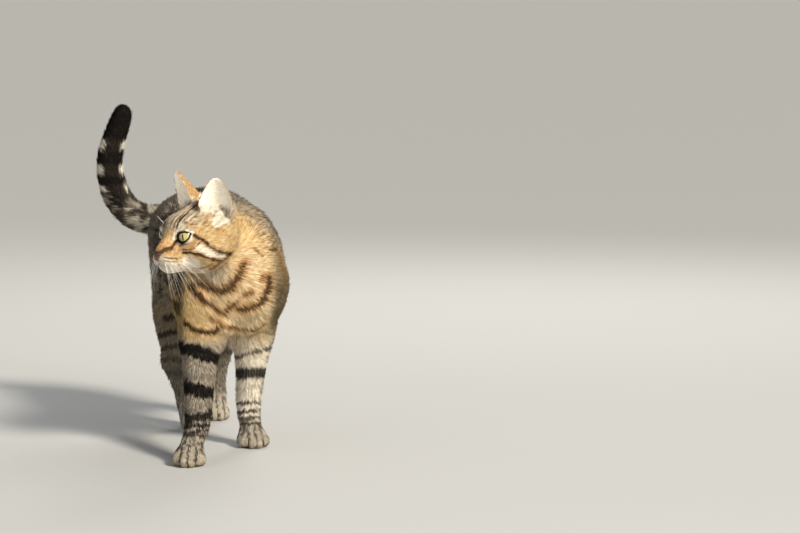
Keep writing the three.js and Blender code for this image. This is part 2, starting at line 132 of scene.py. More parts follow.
GRAIN = 2.35 * MM  # how finely the shell is woven before the face is refined
OVERLAP = 0.5 * MM  # neighbouring solids are grown by this much, so that they fuse
EAR_OVERLAP = 1.4 * MM
SKIN_PARTS = sorted(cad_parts)
PART_KINDS = (
    "trunk", "neck", "head", "ear", "eye", "nose", "foreleg", "hindleg", "forepaw", "hindpaw", "tail"
)


def unit(v):
    """Vectors brought to length 1."""
    return v / np.maximum(np.linalg.norm(v, axis=-1, keepdims=True), 1e-12)


def smoothstep(low, high, v):
    """0 at low and 1 at high, with soft ends. Where low is above high, it falls instead."""
    t = np.clip((v - low) / (high - low), 0, 1)
    return t * t * (3 - 2 * t)


def middle(name):
    """The middle of a node's box."""
    low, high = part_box(name)
    return (np.array(low) + np.array(high)) / 2


def kind_of(name):
    return next(k for k in PART_KINDS if name.startswith(k))


def merged_copy(name):
    """A node's corners, their normals and its triangles, with its loose triangles merged."""
    bm = bmesh.new()
    bm.from_mesh(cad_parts[name].data)
    bmesh.ops.remove_doubles(bm, verts=bm.verts, dist=1e-6)
    bm.normal_update()
    places = np.array([v.co for v in bm.verts])
    normals = np.array([v.normal for v in bm.verts])
    faces = np.array([[v.index for v in f.verts] for f in bm.faces])
    bm.free()
    return places, normals, faces


def shell(name, places, faces):
    """A new mesh object at the origin, shaded smooth."""
    mesh = bpy.data.meshes.new(name)
    mesh.from_pydata(places.tolist(), [], faces)
    mesh.shade_smooth()
    return in_scene(name, mesh)


def rows_of(items, field, kind, wide):
    """One field of a mesh's corners, edges or faces, as rows of the given width."""
    flat = np.empty(len(items) * wide, kind)
    items.foreach_get(field, flat)
    return flat.reshape(-1, wide)


def places_of(mesh):
    return rows_of(mesh.vertices, "co", np.float32, 3).astype(float)


def links_of(mesh):
    one_way = rows_of(mesh.edges, "vertices", np.int32, 2)
    return np.concatenate([one_way, one_way[:, ::-1]])


def woven_shell(places, faces, grain):
    """A mesh of even facets of the given size round a shell, in which solids that overlap are fused."""
    rough = shell("rough_shell", places, faces.tolist())
    weave = rough.modifiers.new("weave", "REMESH")
    weave.mode = "VOXEL"
    weave.voxel_size = grain
    woven = bpy.data.meshes.new_from_object(rough.evaluated_get(bpy.context.evaluated_depsgraph_get()))
    bpy.data.objects.remove(rough)
    return woven


def cut_to_triangles(bm, mesh):
    """Cuts a bmesh's faces into triangles, and gives its places, faces and links. The mesh is used up."""
    bmesh.ops.triangulate(bm, faces=bm.faces)
    bm.to_mesh(mesh)
    bm.free()
    cut = places_of(mesh), rows_of(mesh.polygons, "vertices", np.int32, 3), links_of(mesh)
    bpy.data.meshes.remove(mesh)
    return cut


def neighbour_mean(values, links):
    """Each corner's mean of a value over the corners that it is linked to."""
    count = np.maximum(np.bincount(links[:, 0], minlength=len(values)), 1)
    columns = values.reshape(len(values), -1)
    mean = np.stack([np.bincount(links[:, 0], c[links[:, 1]], len(values)) for c in columns.T], axis=1)
    return (mean / count[:, None]).reshape(values.shape)


def relax(values, links, times):
    """Evens out a value over a surface."""
    for _ in range(times):
        values = values + 0.5 * (neighbour_mean(values, links) - values)
    return values


def iron(places, links, times):
    """Smooths a surface without shrinking it: each step in has a slightly longer step back out."""
    for _ in range(times):
        places = places + 0.5 * (neighbour_mean(places, links) - places)
        places = places - 0.53 * (neighbour_mean(places, links) - places)
    return places


def sum_at_corners(vectors, triangles, count):
    """Each triangle's vector, added up at its three corners."""
    columns = [sum(np.bincount(triangles[:, k], v, count) for k in range(3)) for v in vectors.T]
    return np.stack(columns, axis=1)


def corner_normals(places, triangles):
    a, b, c = (places[triangles[:, k]] for k in range(3))
    return unit(sum_at_corners(np.cross(b - a, c - a), triangles, len(places)))


# The head's own frame: +X to the cat's left, -Y out of its face, +Z up, from midway between the eyes.
EYE_RADIUS = 10.0
NOSE_DROP = math.atan2(18.5, 28.6)  # how far the nose lies below the way the face points
head_origin = (middle("eye_left") + middle("eye_right")) / 2
head_x = unit(middle("eye_left") - middle("eye_right"))
to_nose = middle("nose") - head_origin
to_nose = unit(to_nose - head_x * (to_nose @ head_x))
head_y = -(to_nose * math.cos(NOSE_DROP) + np.cross(head_x, -to_nose) * math.sin(NOSE_DROP))
head_axes = np.stack([head_x, head_y, np.cross(head_x, head_y)], axis=1)


def in_head(places):
    """Places in the head's frame, in millimetres."""
    return (places - head_origin) @ head_axes / MM


def from_head(places):
    """Places in the model's frame, in metres, from millimetres in the head's."""
    return np.asarray(places) * MM @ head_axes.T + head_origin


def mirrored(here):
    """The same places in the head's frame, with its right side laid on its left."""
    return np.column_stack([abs(here[:, 0]), here[:, 1:]])


# Fuse the solids.
solids = {name: merged_copy(name) for name in SKIN_PARTS}
all_places, all_faces, face_part, first = [], [], [], 0
for name, (places, normals, faces) in solids.items():
    grow = EAR_OVERLAP if kind_of(name) == "ear" else OVERLAP
    all_places.append(places + normals * grow)
    all_faces.append(faces + first)
    face_part += [name] * len(faces)
    first += len(places)
all_places, all_faces = np.concatenate(all_places), np.concatenate(all_faces)
solid_tree = BVHTree.FromPolygons(all_places.tolist(), all_faces.tolist(), all_triangles=True)
woven = woven_shell(all_places, all_faces, GRAIN)
woven_places = iron(places_of(woven), links_of(woven), 12)
woven.vertices.foreach_set("co", woven_places.astype(np.float32).ravel())

# Refine the face once, and the rims of the eyes, the nose and the lips again. Each spot has its reach.
EYE_ASIDE = 18.5  # how far each eye's centre lies from the middle of the face
EYE_FRONTS = [(side * EYE_ASIDE, -4.0, 0.0) for side in (1, -1)]
bm = bmesh.new()
bm.from_mesh(woven)
for spots in (
    [((0, -6, -4), 36)],
    [(EYE_FRONTS[0], 14.5), (EYE_FRONTS[1], 14.5), ((0, -24, -24), 11)],
    [(EYE_FRONTS[0], 12), (EYE_FRONTS[1], 12)],
):
    here = in_head(np.array([v.co for v in bm.verts]))
    near = np.any([np.linalg.norm(here - spot, axis=1) < reach for spot, reach in spots], axis=0)
    bm.verts.ensure_lookup_table()
    edges = [e for e in bm.edges if near[e.verts[0].index] and near[e.verts[1].index]]
    bmesh.ops.subdivide_edges(bm, edges=edges, cuts=1, use_grid_fill=True)
    bm.verts.index_update()
skin_places, skin_faces, skin_links = cut_to_triangles(bm, woven)
skin_places = iron(skin_places, skin_links, 5)

# Which part of the body each corner belongs to, softened across the joins.
nearest_part = np.array([face_part[solid_tree.find_nearest(p)[2]] for p in skin_places.tolist()])
share_table = relax(np.stack([(nearest_part == n).astype(float) for n in SKIN_PARTS], axis=1), skin_links, 8)


def shares_from(table):
    """A function that adds up the named parts' columns of a table. A last column may hold the ears' cups."""
    def share(*kinds):
        if kinds == ("ear_cup",):
            return table[:, -1]
        return sum(table[:, i] for i, n in enumerate(SKIN_PARTS) if n in kinds or kind_of(n) in kinds)
    return share


share_of = shares_from(share_table)


def blended(values):
    """A value that each kind of part has, blended where the parts join."""
    return sum(values[kind_of(n)] * share_table[:, i] for i, n in enumerate(SKIN_PARTS))


def iron_where(places, where, rounds):
    """Irons the skin only where it is marked."""
    for _ in range(rounds):
        places = places + (iron(places, skin_links, 8) - places) * where[:, None]
    return places


# The coat's depth in millimetres on each part, and how far the skin lies under the outline for it.
COAT_DEPTH = {
    "trunk": 6.0, "neck": 6.5, "head": 3.0, "ear": 0.5, "eye": 1.0, "nose": 0.6, "foreleg": 3.6,
    "hindleg": 4.6, "forepaw": 1.7, "hindpaw": 1.7, "tail": 5.6,
}
FACE_DEPTH = 1.5  # on the front of the face
here = in_head(skin_places)
face_front = share_of("head", "eye", "nose") * smoothstep(16, -10, here[:, 1])
coat_depth = blended(COAT_DEPTH) * (1 - face_front) + FACE_DEPTH * face_front
coat_depth += 1.6 * share_of("head") * smoothstep(22, 34, abs(here[:, 0])) * smoothstep(0, -14, here[:, 2])
coat_depth = relax(coat_depth, skin_links, 6)
plain = np.clip(share_of("trunk", "neck", "foreleg", "hindleg", "tail") - 0.25, 0, 0.75) / 0.75
skin_places = iron_where(skin_places, plain, 5)
skin_places = iron_where(skin_places, relax(share_of("ear"), skin_links, 3), 3)
outline_normals = corner_normals(skin_places, skin_faces)
grown = share_of("ear") * (EAR_OVERLAP - OVERLAP) + OVERLAP
skin_places = skin_places - outline_normals * (coat_depth * MM + grown)[:, None]

# Where the skin has folded over itself in a crease between limb and body, relax it.
facing = np.einsum("ij,ij->i", corner_normals(skin_places, skin_faces), outline_normals)
creased = np.clip(relax(smoothstep(0.8, 0.4, facing) * 3, skin_links, 10), 0, 1)[:, None]
creased = creased * (1 - share_of("ear", "head", "eye", "nose"))[:, None]
for _ in range(60):
    skin_places = skin_places + 0.5 * creased * (neighbour_mean(skin_places, skin_links) - skin_places)
skin_places = iron(skin_places, skin_links, 2)

# Lids. Each opening is an almond round its own axis, and the lids lie on the eyeball.
EYE_TURN = 24.0  # degrees that each opening faces outwards
EYE_TILT = 17.0  # its outer corner is higher
ALMOND_WIDE, ALMOND_HIGH = 55.0, 27.0  # half its width and height, in degrees on the eyeball
LID = 0.75  # the thickness of a lid on the eyeball, in millimetres
HOLLOW = 2.2  # how far the skin sinks behind the glass in the opening


def side_ways(side, turn):
    """Forwards and outwards, in the head's frame, for an eye that is turned outwards by some degrees."""
    turn = math.radians(turn)
    forward = np.array([side * math.sin(turn), -math.cos(turn), 0])
    outward = np.array([side * math.cos(turn), math.sin(turn), 0])
    return forward, outward


def eye_angles(here, side):
    """Degrees across and up from the middle of an eye's opening, and the distance from the eye's centre."""
    out = here - np.array([side * EYE_ASIDE, 0.0, 0.0])
    radius = np.linalg.norm(out, axis=-1)
    forward, outward = side_ways(side, EYE_TURN)
    across = np.degrees(np.arctan2(out @ outward, out @ forward))
    up = np.degrees(np.arcsin(np.clip(out[..., 2] / np.maximum(radius, 1e-6), -1, 1)))
    tilt = math.radians(EYE_TILT)
    along = across * math.cos(tilt) + up * math.sin(tilt)
    return along, up * math.cos(tilt) - across * math.sin(tilt), radius


def own_eye_angles(here):
    """The same, from the eye on each point's own side."""
    return (np.where(here[:, 0] > 0, a, b) for a, b in zip(eye_angles(here, 1), eye_angles(here, -1)))


def almond(across, up):
    """Degrees inside an eye's opening: positive inside, and negative outside."""
    reach = np.clip(1 - (across / ALMOND_WIDE) ** 2, 0, 1) ** 0.85
    inside = ALMOND_HIGH * np.where(up > 0, 1.0, 0.97) * reach - abs(up)
    beyond = np.hypot(np.maximum(abs(across) - ALMOND_WIDE, 0), up)
    return np.where(abs(across) < ALMOND_WIDE, inside, -beyond)


for side in (1, -1):
    here = in_head(skin_places)
    across, up, radius = eye_angles(here, side)
    opening = almond(across, up)
    near = smoothstep(16.5, 12.5, radius) * (abs(across) < 100)
    inner = smoothstep(1.5, 6.5, opening)
    rim = np.exp(-((opening + 5) / 5.5) ** 2)
    fold = np.exp(-((opening + 16) / 5.0) ** 2) * (up > 0)
    lid_radius = EYE_RADIUS + LID + 0.35 * rim - 0.25 * fold
    wanted = np.where(opening > -26, np.maximum(lid_radius, radius * smoothstep(-10, -26, opening)), radius)
    wanted = np.maximum(wanted, lid_radius)
    wanted = wanted * (1 - inner) + (EYE_RADIUS - HOLLOW) * inner
    moved = radius + (wanted - radius) * near
    centre = np.array([side * EYE_ASIDE, 0.0, 0.0])
    skin_places = from_head(centre + (here - centre) * (moved / np.maximum(radius, 1e-6))[:, None])


def nearest_on(line, here):
    """Each point's distance from a broken line, and how far along the line it is nearest, 0 to 1."""
    line = np.asarray(line, float)
    steps = np.linalg.norm(np.diff(line, axis=0), axis=1)
    total, done = steps.sum(), 0.0
    best, along = np.full(len(here), 1e9), np.zeros(len(here))
    for a, b, step in zip(line, line[1:], steps):
        t = np.clip((here - a) @ (b - a) / step**2, 0, 1)
        gap = np.linalg.norm(here - a - t[:, None] * (b - a), axis=1)
        closer = gap < best
        best = np.where(closer, gap, best)
        along = np.where(closer, (done + t * step) / total, along)
        done += step
    return best, along


def gap_to(line, here):
    """Each point's distance from a broken line."""
    return nearest_on(line, here)[0]


# The mouth: a cleft under the nose, and the lips' line running back from it under each whisker pad.
LIP = [(0, -27.5, -27.5), (5, -26.5, -30), (9, -22, -31), (13, -16, -30.5), (16.5, -9, -28.5),
       (18.5, -3, -27)]
LIP_DEEP, CLEFT_DEEP = 1.3, 0.9
here = mirrored(in_head(skin_places))
lip_gap, lip_along = nearest_on(LIP, here)
cleft_gap = gap_to([(0, -30, -22), (0, -28, -27.5)], here)
on_muzzle = share_of("head", "nose") > 0.3
normals = corner_normals(skin_places, skin_faces)
lip = np.exp(-((lip_gap / 1.5) ** 2)) * (1 - 0.6 * lip_along) * on_muzzle
cleft = np.exp(-((cleft_gap / 1.2) ** 2)) * on_muzzle
skin_places = skin_places - normals * ((LIP_DEEP * lip + CLEFT_DEEP * cleft) * MM)[:, None]

# Toes: each paw's front is parted in four by three furrows.
PAW_HEADING = {"forepaw_right": 17, "forepaw_left": -6, "hindpaw_right": 4, "hindpaw_left": -4}
FURROWS = (-8.6, 0, 8.6)  # across the paw
FURROW_DEEP = 1.2
SOLE = 0.4  # the skin stays this high over the floor


def in_paw(places, name):
    """Millimetres across, forward and up, from the middle of a paw, in the way that it points."""
    turn = math.radians(PAW_HEADING[name])
    forward = np.array([-math.sin(turn), -math.cos(turn), 0])
    right = np.array([-math.cos(turn), math.sin(turn), 0])
    out = (places - middle(name) * (1, 1, 0)) / MM
    return out @ right, out @ forward, out[:, 2]


def furrow(places, name):
    """How deep each point is in a furrow between two toes, 0 to 1."""
    across, forward, up = in_paw(places, name)
    lines = sum(np.exp(-(((across - c) / 1.5) ** 2)) for c in FURROWS)
    return np.clip(lines, 0, 1) * smoothstep(0, 8, forward) * smoothstep(24, 15, up)


for name in PAW_HEADING:
    normals = corner_normals(skin_places, skin_faces)
    deep = furrow(skin_places, name) * share_of(name)
    skin_places = skin_places - normals * (FURROW_DEEP * MM * deep)[:, None]
skin_places[:, 2] = np.maximum(skin_places[:, 2], SOLE * MM)
skin_normals = corner_normals(skin_places, skin_faces)
skin = shell("skin", skin_places, skin_faces.tolist())
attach(skin, "root")
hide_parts(*[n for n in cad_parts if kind_of(n) not in ("eye", "nose")])

# ------------------------------------------------------------------------------- the lie of the coat
# Hair grows back from the nose: over the skull, along the spine, down each limb to the toes and out along
# the tail. So it lies the way that the distance from the nose, walked over the skin, grows.

NOSE_TIP = (0, -30, -17)
FARTHEST = 2.0  # metres: more than any walk over the skin


def walked_from(start):
    """How far each corner is from the start, walked along the skin's links."""
    order = np.argsort(skin_links[:, 0], kind="stable")
    starts, ends = skin_links[order].T
    lengths = np.linalg.norm(skin_places[starts] - skin_places[ends], axis=1).tolist()
    first = np.searchsorted(starts, np.arange(len(skin_places) + 1)).tolist()
    ends = ends.tolist()
    walked = [FARTHEST] * len(skin_places)
    walked[start] = 0.0
    waiting = [(0.0, start)]
    while waiting:
        done, corner = heapq.heappop(waiting)
        if done > walked[corner]:
            continue
        for k in range(first[corner], first[corner + 1]):
            onward, other = done + lengths[k], ends[k]
            if onward < walked[other]:
                walked[other] = onward
                heapq.heappush(waiting, (onward, other))
    return np.array(walked)


def slope_of(values, places, triangles):
    """How a corner value climbs over the surface, as a vector at each corner."""
    a, b, c = (places[triangles[:, k]] for k in range(3))
    across = np.cross(b - a, c - a)
    twice_area = np.maximum(np.einsum("ij,ij->i", across, across), 1e-18)[:, None]
    opposite = (c - b, a - c, b - a)
    climb = sum(values[triangles[:, k]][:, None] * np.cross(across, opposite[k]) for k in range(3))
    return sum_at_corners(unit(climb / twice_area), triangles, len(places))


def flat_on(vectors, normals):
    """Unit vectors laid flat on a surface."""
    return unit(vectors - normals * np.einsum("ij,ij->i", vectors, normals)[:, None])


nose_tip = int(np.argmin(np.linalg.norm(in_head(skin_places) - NOSE_TIP, axis=1)))
lie = slope_of(relax(walked_from(nose_tip), skin_links, 14), skin_places, skin_faces)
for _ in range(4):
    lie = relax(flat_on(lie, skin_normals), skin_links, 5)
lie = flat_on(lie, skin_normals)

# ------------------------------------------------------------------------------- colours of the coat
# A mackerel tabby: grey-brown ticked hair on the back, warm buff on the face, neck and breast, pale legs and
# chin, and over them black-brown lines, bars and rings. Four shares say it: dark, warm, pale and red.
# Some of them also hold painted light and shade: the cat's left side lighter, its right side darker.

# Lines on the face, in the head's frame, on the cat's left; the right has the same. Half-width, dark, red.
FACE_LINES = [
    (2.3, 0.95, 0.75, [(30, 1, 1), (36, 4, -2), (40, 7, -5), (43, 10, -10), (44, 14, -15), (44, 20, -19),
                       (42, 28, -22), (39, 36, -24), (33, 44, -27)]),
    (2.0, 0.92, 0.85, [(21, -10, -17), (30, -7, -18), (38, 0, -19), (41, 6, -23), (41, 12, -26),
                       (39, 20, -29), (35, 29, -32)]),
    (3.4, 0.62, 1.0, [(33, 44, -27), (35, 36, -31), (34, 30, -34), (27, 27, -39), (23, 24, -42)]),
    (1.8, 0.45, 0.9, [(31, 21, -35), (27, 15, -38), (21, 9, -41)]),
    (1.1, 0.75, 0.8, [(20, -10, -13), (27, -6, -14), (33, -4, -13), (36, -1, -11), (38, 2, -7)]),
    (1.5, 0.0, 0.9, [(14, -16, -12), (18, -11, -10), (27, -6, -9), (32, -3, -7), (36, 0, -4)]),
    (2.2, 0.85, 0.9, [(12.5, -10, -4), (11.5, -14, -8), (10, -18, -11.5), (7, -24, -13), (5, -29, -15)]),
    (1.6, 0.95, 0.2, [(14, -10, 10), (14, -6, 16), (13, 0, 21), (11, 6, 25), (9, 12, 27), (8, 22, 29),
                      (8, 34, 30)]),
    (1.2, 0.75, 0.3, [(9, -11, 10), (9, -6, 17), (9, 1, 22), (7, 8, 26), (4, 16, 28), (3, 30, 30)]),
    (1.1, 0.65, 0.3, [(4, -12, 9), (4, -8, 17), (3.5, -2, 22), (2, 6, 25)]),
    (1.1, 0.65, 0.3, [(19, -5, 18), (19, 1, 22), (17, 8, 26), (14, 16, 29)]),
    (0.8, 0.7, 0.7, [(12, -28, -20), (16, -23, -22), (20, -16, -23)]),
    (0.8, 0.6, 0.7, [(11, -28, -23), (15, -23, -25), (19, -17, -26)]),
    (2.0, 0.7, 0.8, [(21, -2, 15), (22, -1, 15.5)]),
    (1.9, 0.7, 0.8, [(26, 3, 14), (27, 3.5, 14)]),
    (1.3, 0.8, 0.1, [(16, 9, 23), (16.5, 10, 23)]),
    (1.3, 0.8, 0.1, [(21, 11, 19), (21.5, 12, 19)]),
    (1.3, 0.2, 0.8, [(36, 30, 4), (38, 36, -4), (38, 42, -10)]),
    (1.0, 0.35, 0.7, [(37, 22, 8), (38, 28, -2)]),
]
# Bands round the throat, breast and shoulders, in the model's frame: half-width, dark, red.
BREAST_LINES = [
    (4.4, 0.9, 1.0, [(34, -176, 222), (32, -172, 216), (27, -172, 209), (21, -170, 202), (18, -167, 195),
                     (10, -164, 193), (-1, -161, 195), (-9, -155, 198)]),
    (3.4, 0.95, 0.9, [(-24, -154, 196), (-17, -155, 188), (-9, -155, 181), (-1, -152, 176), (6, -150, 170),
                      (14, -147, 165)]),
    (3.0, 0.85, 0.9, [(14, -147, 165), (20, -152, 174), (27, -154, 181)]),
    (4.6, 0.95, 0.9, [(30, -151, 171), (43, -148, 171), (52, -147, 175), (59, -148, 181), (63, -149, 190),
                      (64, -147, 199), (64, -149, 206)]),
    (3.4, 1.0, 0.5, [(-28, -128, 152), (-24, -129, 149), (-17, -132, 146), (-7, -134, 144), (4, -134, 144),
                      (12, -139, 148)]),
    (2.4, 0.6, 0.8, [(-1, -142, 159), (16, -140, 151), (35, -121, 144), (53, -114, 143), (63, -117, 149)]),
    (3.2, 0.7, 0.9, [(38, -160, 188), (42, -158, 190)]),
    (3.0, 0.6, 0.9, [(52, -152, 204), (54, -151, 208)]),
    (1.8, 0.9, 0.3, [(44, -151, 268), (54, -151, 255), (62, -150, 243), (70, -141, 235)]),
    (1.5, 0.8, 0.3, [(36, -162, 244), (46, -158, 238), (56, -154, 231)]),
    (4.0, 0.95, 0.2, [(71, -137, 238), (76, -128, 236)]),
    (3.4, 0.85, 0.4, [(74, -120, 224), (76, -124, 205), (74, -130, 190)]),
    (3.6, 0.8, 0.4, [(-30, -120, 240), (-38, -128, 222), (-40, -134, 205)]),
    (3.4, 0.85, 0.3, [(-38, -100, 232), (-46, -112, 205), (-44, -118, 180)]),
]
# Bars on each leg: the middle's height, half the width, how it slopes across, and how dark.
LEG_BARS = {
    "foreleg_right": [
        (121, 7.6, -0.26, 1), (95, 2.2, 0.1, 0.5), (81, 8.2, -0.22, 1), (64, 2, 0.2, 0.5),
        (54, 5.6, 0.1, 0.95), (44, 2.4, 0, 0.95), (38.5, 1.8, 0.1, 0.9), (33, 1.6, -0.1, 0.9),
        (25, 1.3, 0.05, 0.8), (200, 4, 0.3, 0.6), (176, 4, 0.3, 0.6),
    ],
    "foreleg_left": [
        (115, 2.6, 0.25, 0.8), (89, 6.4, 0.0, 0.95), (72, 1.5, 0.1, 0.35), (53, 2.0, 0.0, 0.85),
        (43, 2.4, 0.05, 0.9), (35, 2.4, 0, 0.85), (28, 1.7, 0, 0.9), (205, 4, 0.2, 0.6), (182, 4, 0.2, 0.6),
        (160, 4, 0.2, 0.6), (138, 4, 0.15, 0.5),
    ],
    "hindleg_right": [
        (196, 5, 0.3, 0.8), (170, 5, 0.3, 0.9), (145, 5, 0.25, 0.9), (122, 5, 0.2, 0.9), (101, 4, 0.15, 0.8),
        (82, 4, 0, 0.7), (64, 3, 0, 0.6),
    ],
    "hindleg_left": [
        (200, 5, 0.3, 0.8), (175, 5, 0.3, 0.9), (150, 5, 0.25, 0.9), (126, 5, 0.2, 0.9), (104, 4, 0.15, 0.8),
        (84, 4, 0, 0.7), (66, 3, 0, 0.6),
    ],
}
LINE_STEP = 6  # millimetres between the points of a marking's line on the coat
TAIL_DARK = [(400, 344), (332.5, 313.5), (302, 289)]  # the black tip and rings, by height
TAIL_PALE = [(343, 333.5), (312.5, 303), (288, 283)]

rng = np.random.default_rng(7)
RIPPLES = [(unit(rng.normal(size=3)), rng.uniform(0, 2 * math.pi), rng.uniform(0.6, 1.7)) for _ in range(14)]


def ripple(places, size, turn=0):
    """Soft, irregular waves of about the given size in millimetres, from -1 to 1."""
    total = np.zeros(len(places))
    for k, (way, phase, pace) in enumerate(RIPPLES):
        way = np.roll(way, turn + k)
        total += np.sin(places @ way * (2 * math.pi * pace / (size * MM)) + phase + 1.7 * turn)
    return np.clip(total / 3.6, -1, 1)


class Coat:
    """Points on the coat's outline: the parts that they lie on, and their four colour shares."""

    def __init__(self, places, share, normals):
        self.places, self.share, self.normals = places, share, normals
        self.x, self.y, self.z = (places / MM).T
        self.here = in_head(places)
        self.side = mirrored(self.here)
        self.wobble, self.fine = ripple(places, 22, 1), ripple(places, 7, 2)
        self.head, self.neck, self.trunk = share("head", "eye", "nose"), share("neck"), share("trunk")
        self.fore, self.hind, self.paws = share("foreleg"), share("hindleg"), share("forepaw", "hindpaw")
        self.ears, self.tail = share("ear"), share("tail")
        self.dark = np.zeros(len(places))

    def darken(self, *marks):
        self.dark = np.maximum.reduce([self.dark, *marks])

    def redden(self, mark):
        self.red = np.maximum(self.red, mark)

    def gap(self, line, here, where):
        """The distance to a marking's line for the points marked where, and far for the others."""
        gap = np.full(len(here), 99.0)
        gap[where] = gap_to(line, here[where])
        return gap


# Each of these paints one region. Lengths are millimetres: x, y and z in the model's frame, hx, hy and hz in
# the head's, where hx is mirrored, so that both sides of the face get the same.

def colour_ground(coat):
    """Buff on the head and in front, greyer above and behind, and paler below and on the legs, with painted
    light on the cat's left and painted shade on its right.
    """
    x, y, z, share = coat.x, coat.y, coat.z, coat.share
    neck, trunk, fore, hind = coat.neck, coat.trunk, coat.fore, coat.hind
    front = smoothstep(-60, -125, y)
    under = smoothstep(0.1, -0.75, coat.normals[:, 2])
    shoulders = trunk + neck + fore * smoothstep(118, 150, z)
    warm = np.clip(0.1 + 0.9 * front * shoulders + coat.head * 0.68 + 0.25 * under, 0, 1)
    warm = warm * (1 - 0.75 * smoothstep(150, 110, z) * (fore + hind))
    # Painted shade: the neck's right side is made less warm.
    warm *= 1 - 0.35 * neck * smoothstep(-5, -40, x)
    warm *= 1 - 0.75 * smoothstep(-172, -122, y) * smoothstep(222, 268, z)
    # Painted light: the left foreleg is made warmer low down, as if sunlit.
    warm += 0.6 * share("foreleg_left") * smoothstep(160, 100, z)
    pale = np.full(len(x), 0.06)
    # Painted light and shade: the chest is paler on its left half, and low down the left foreleg is far paler
    # than the right.
    pale += 0.3 * trunk * under * (1 - 0.8 * front) + 0.18 * front * shoulders * smoothstep(-30, 20, x)
    legs = 0.8 * share("foreleg_left") + 0.16 * share("foreleg_right") + 0.12 * hind
    pale += legs * smoothstep(150, 96, z)
    pale += 0.34 * coat.paws + 0.2 * share("hindpaw")
    pale -= 0.16 * neck * smoothstep(228, 252, z)
    coat.warm, coat.pale, coat.red = warm, pale, 0.12 * coat.head + 0.1 * front * neck


def colour_muzzle(coat):
    """White chin, muzzle and brow, a white patch on the cheek, and a red-brown nose."""
    head, neck, (hx, hy, hz) = coat.head, coat.neck, coat.side.T
    coat.muzzle = smoothstep(16, 10.5, np.hypot(np.hypot(hx - 6, hy + 24), 1.15 * (hz + 29)))
    coat.chin = smoothstep(16, 9, np.hypot(hx, np.hypot(hy + 16, hz + 36)))
    throat = smoothstep(34, 18, np.hypot(hx * 0.8, np.hypot(hy - 4, hz + 44)))
    coat.pale += head * (0.85 * coat.muzzle + 0.7 * coat.chin + 0.5 * throat)
    coat.pale += 0.5 * neck * smoothstep(52, 28, np.hypot(0.7 * hx, np.hypot(hy - 10, hz + 50)))
    patch = gap_to([(36, 2, -12), (40, 9, -17), (42, 20, -24), (37, 32, -28)], coat.side)
    coat.pale += head * 0.85 * smoothstep(6.0, 2.6, patch + 0.8 * coat.fine)
    jowl = smoothstep(15, 7, np.linalg.norm(coat.side - (25, -3, -31), axis=1))
    coat.pale += head * 0.6 * jowl
    brow = gap_to([(11, -13, -1), (12.5, -12, 5), (15, -9, 11), (20, -6, 13)], coat.side)
    coat.pale += head * 0.5 * smoothstep(3.2, 1.4, brow)
    bridge = smoothstep(9, 4, hx) * smoothstep(-14, -24, hy) * smoothstep(-22, -16, hz)
    coat.red += head * (0.75 * bridge + 0.5 * smoothstep(9, 4, np.hypot(hx - 14, np.hypot(hy + 14, hz + 12))))


def colour_eye_rims(coat):
    """A black rim round each eye's opening, thinner above its inner corner and below, in pale hair."""
    across, up, radius = own_eye_angles(coat.here)
    opening = almond(across, up)
    coat.near_eye = (radius < 15) * coat.head
    thinner = 5 * (up > 0) * smoothstep(10, -40, across) + 3.5 * (up < 0) * smoothstep(-30, 5, across)
    ring = smoothstep(-10.5, -6, opening - thinner + 2)
    coat.pale += coat.near_eye * 0.75 * smoothstep(-34, -20, opening) * (1 - ring)
    coat.warm *= 1 - 0.4 * coat.near_eye * smoothstep(-34, -20, opening) * (1 - ring)
    coat.darken(coat.near_eye * ring)


def draw_face(coat):
    """The face's lines, the flecks on crown and forehead, and the dark edge of the lips."""
    head, (hx, hy, hz) = coat.head, coat.side.T
    for half, black, rust, line in FACE_LINES:
        gap = coat.gap(line, coat.side, head > 0.02)
        wide = half * (1 + 0.25 * coat.wobble)
        mark = smoothstep(wide * 1.45, wide * 0.55, gap)
        coat.darken(black * mark * np.clip(head * 1.5, 0, 1))
        coat.redden(rust * smoothstep(wide * 2.4, wide * 0.9, gap) * head)
        coat.pale *= 1 - 0.6 * rust * smoothstep(wide * 2.0, wide, gap) * head
    crown = smoothstep(12, 24, hy) * smoothstep(14, 22, hz) * head
    speckled = smoothstep(0.1, 0.55, ripple(coat.places, 4.5, 11)) * smoothstep(-6, 8, hz) * (hx > 12)
    coat.darken(
        0.12 * head * (1 - np.clip(coat.pale, 0, 1)),
        0.35 * crown * smoothstep(0.1, 0.6, coat.fine),
        0.45 * head * speckled,
        0.45 * head * smoothstep(1.3, 0.4, gap_to(LIP, coat.side)),
    )
    coat.forehead = head * smoothstep(2, 16, hz) * smoothstep(34, 20, hx)
    coat.warm = np.clip(coat.warm - 0.25 * coat.forehead, 0, 1)
    coat.pale += 0.28 * coat.forehead


def colour_ears(coat):
    """Rust-brown backs and cream cups, and white hair with two brown spots where each cup opens."""
    head, ears, side = coat.head, coat.ears, coat.side
    tuft = gap_to([(26, 29, 26), (32, 35, 24), (38, 40, 14), (38, 28, 12)], side)
    coat.pale += head * 0.85 * smoothstep(8.5, 4, tuft + 1.5 * coat.fine)
    spots = np.minimum.reduce([np.linalg.norm(side - spot, axis=1) for spot in ((24, 31, 27), (31, 33, 23))])
    coat.darken(0.6 * head * smoothstep(3.4, 1.6, spots))
    coat.redden(head * smoothstep(5, 2.5, spots))
    coat.warm = coat.warm * (1 - ears) + ears * 0.9
    coat.red = coat.red * (1 - ears) + ears * 0.66
    coat.cup = ears * coat.share("ear_cup")
    coat.pale = coat.pale * (1 - coat.cup) + coat.cup
    coat.red *= 1 - 0.85 * coat.cup
    coat.darken(ears * (1 - coat.cup) * (0.1 + 0.2 * smoothstep(0, 0.5, coat.fine)))


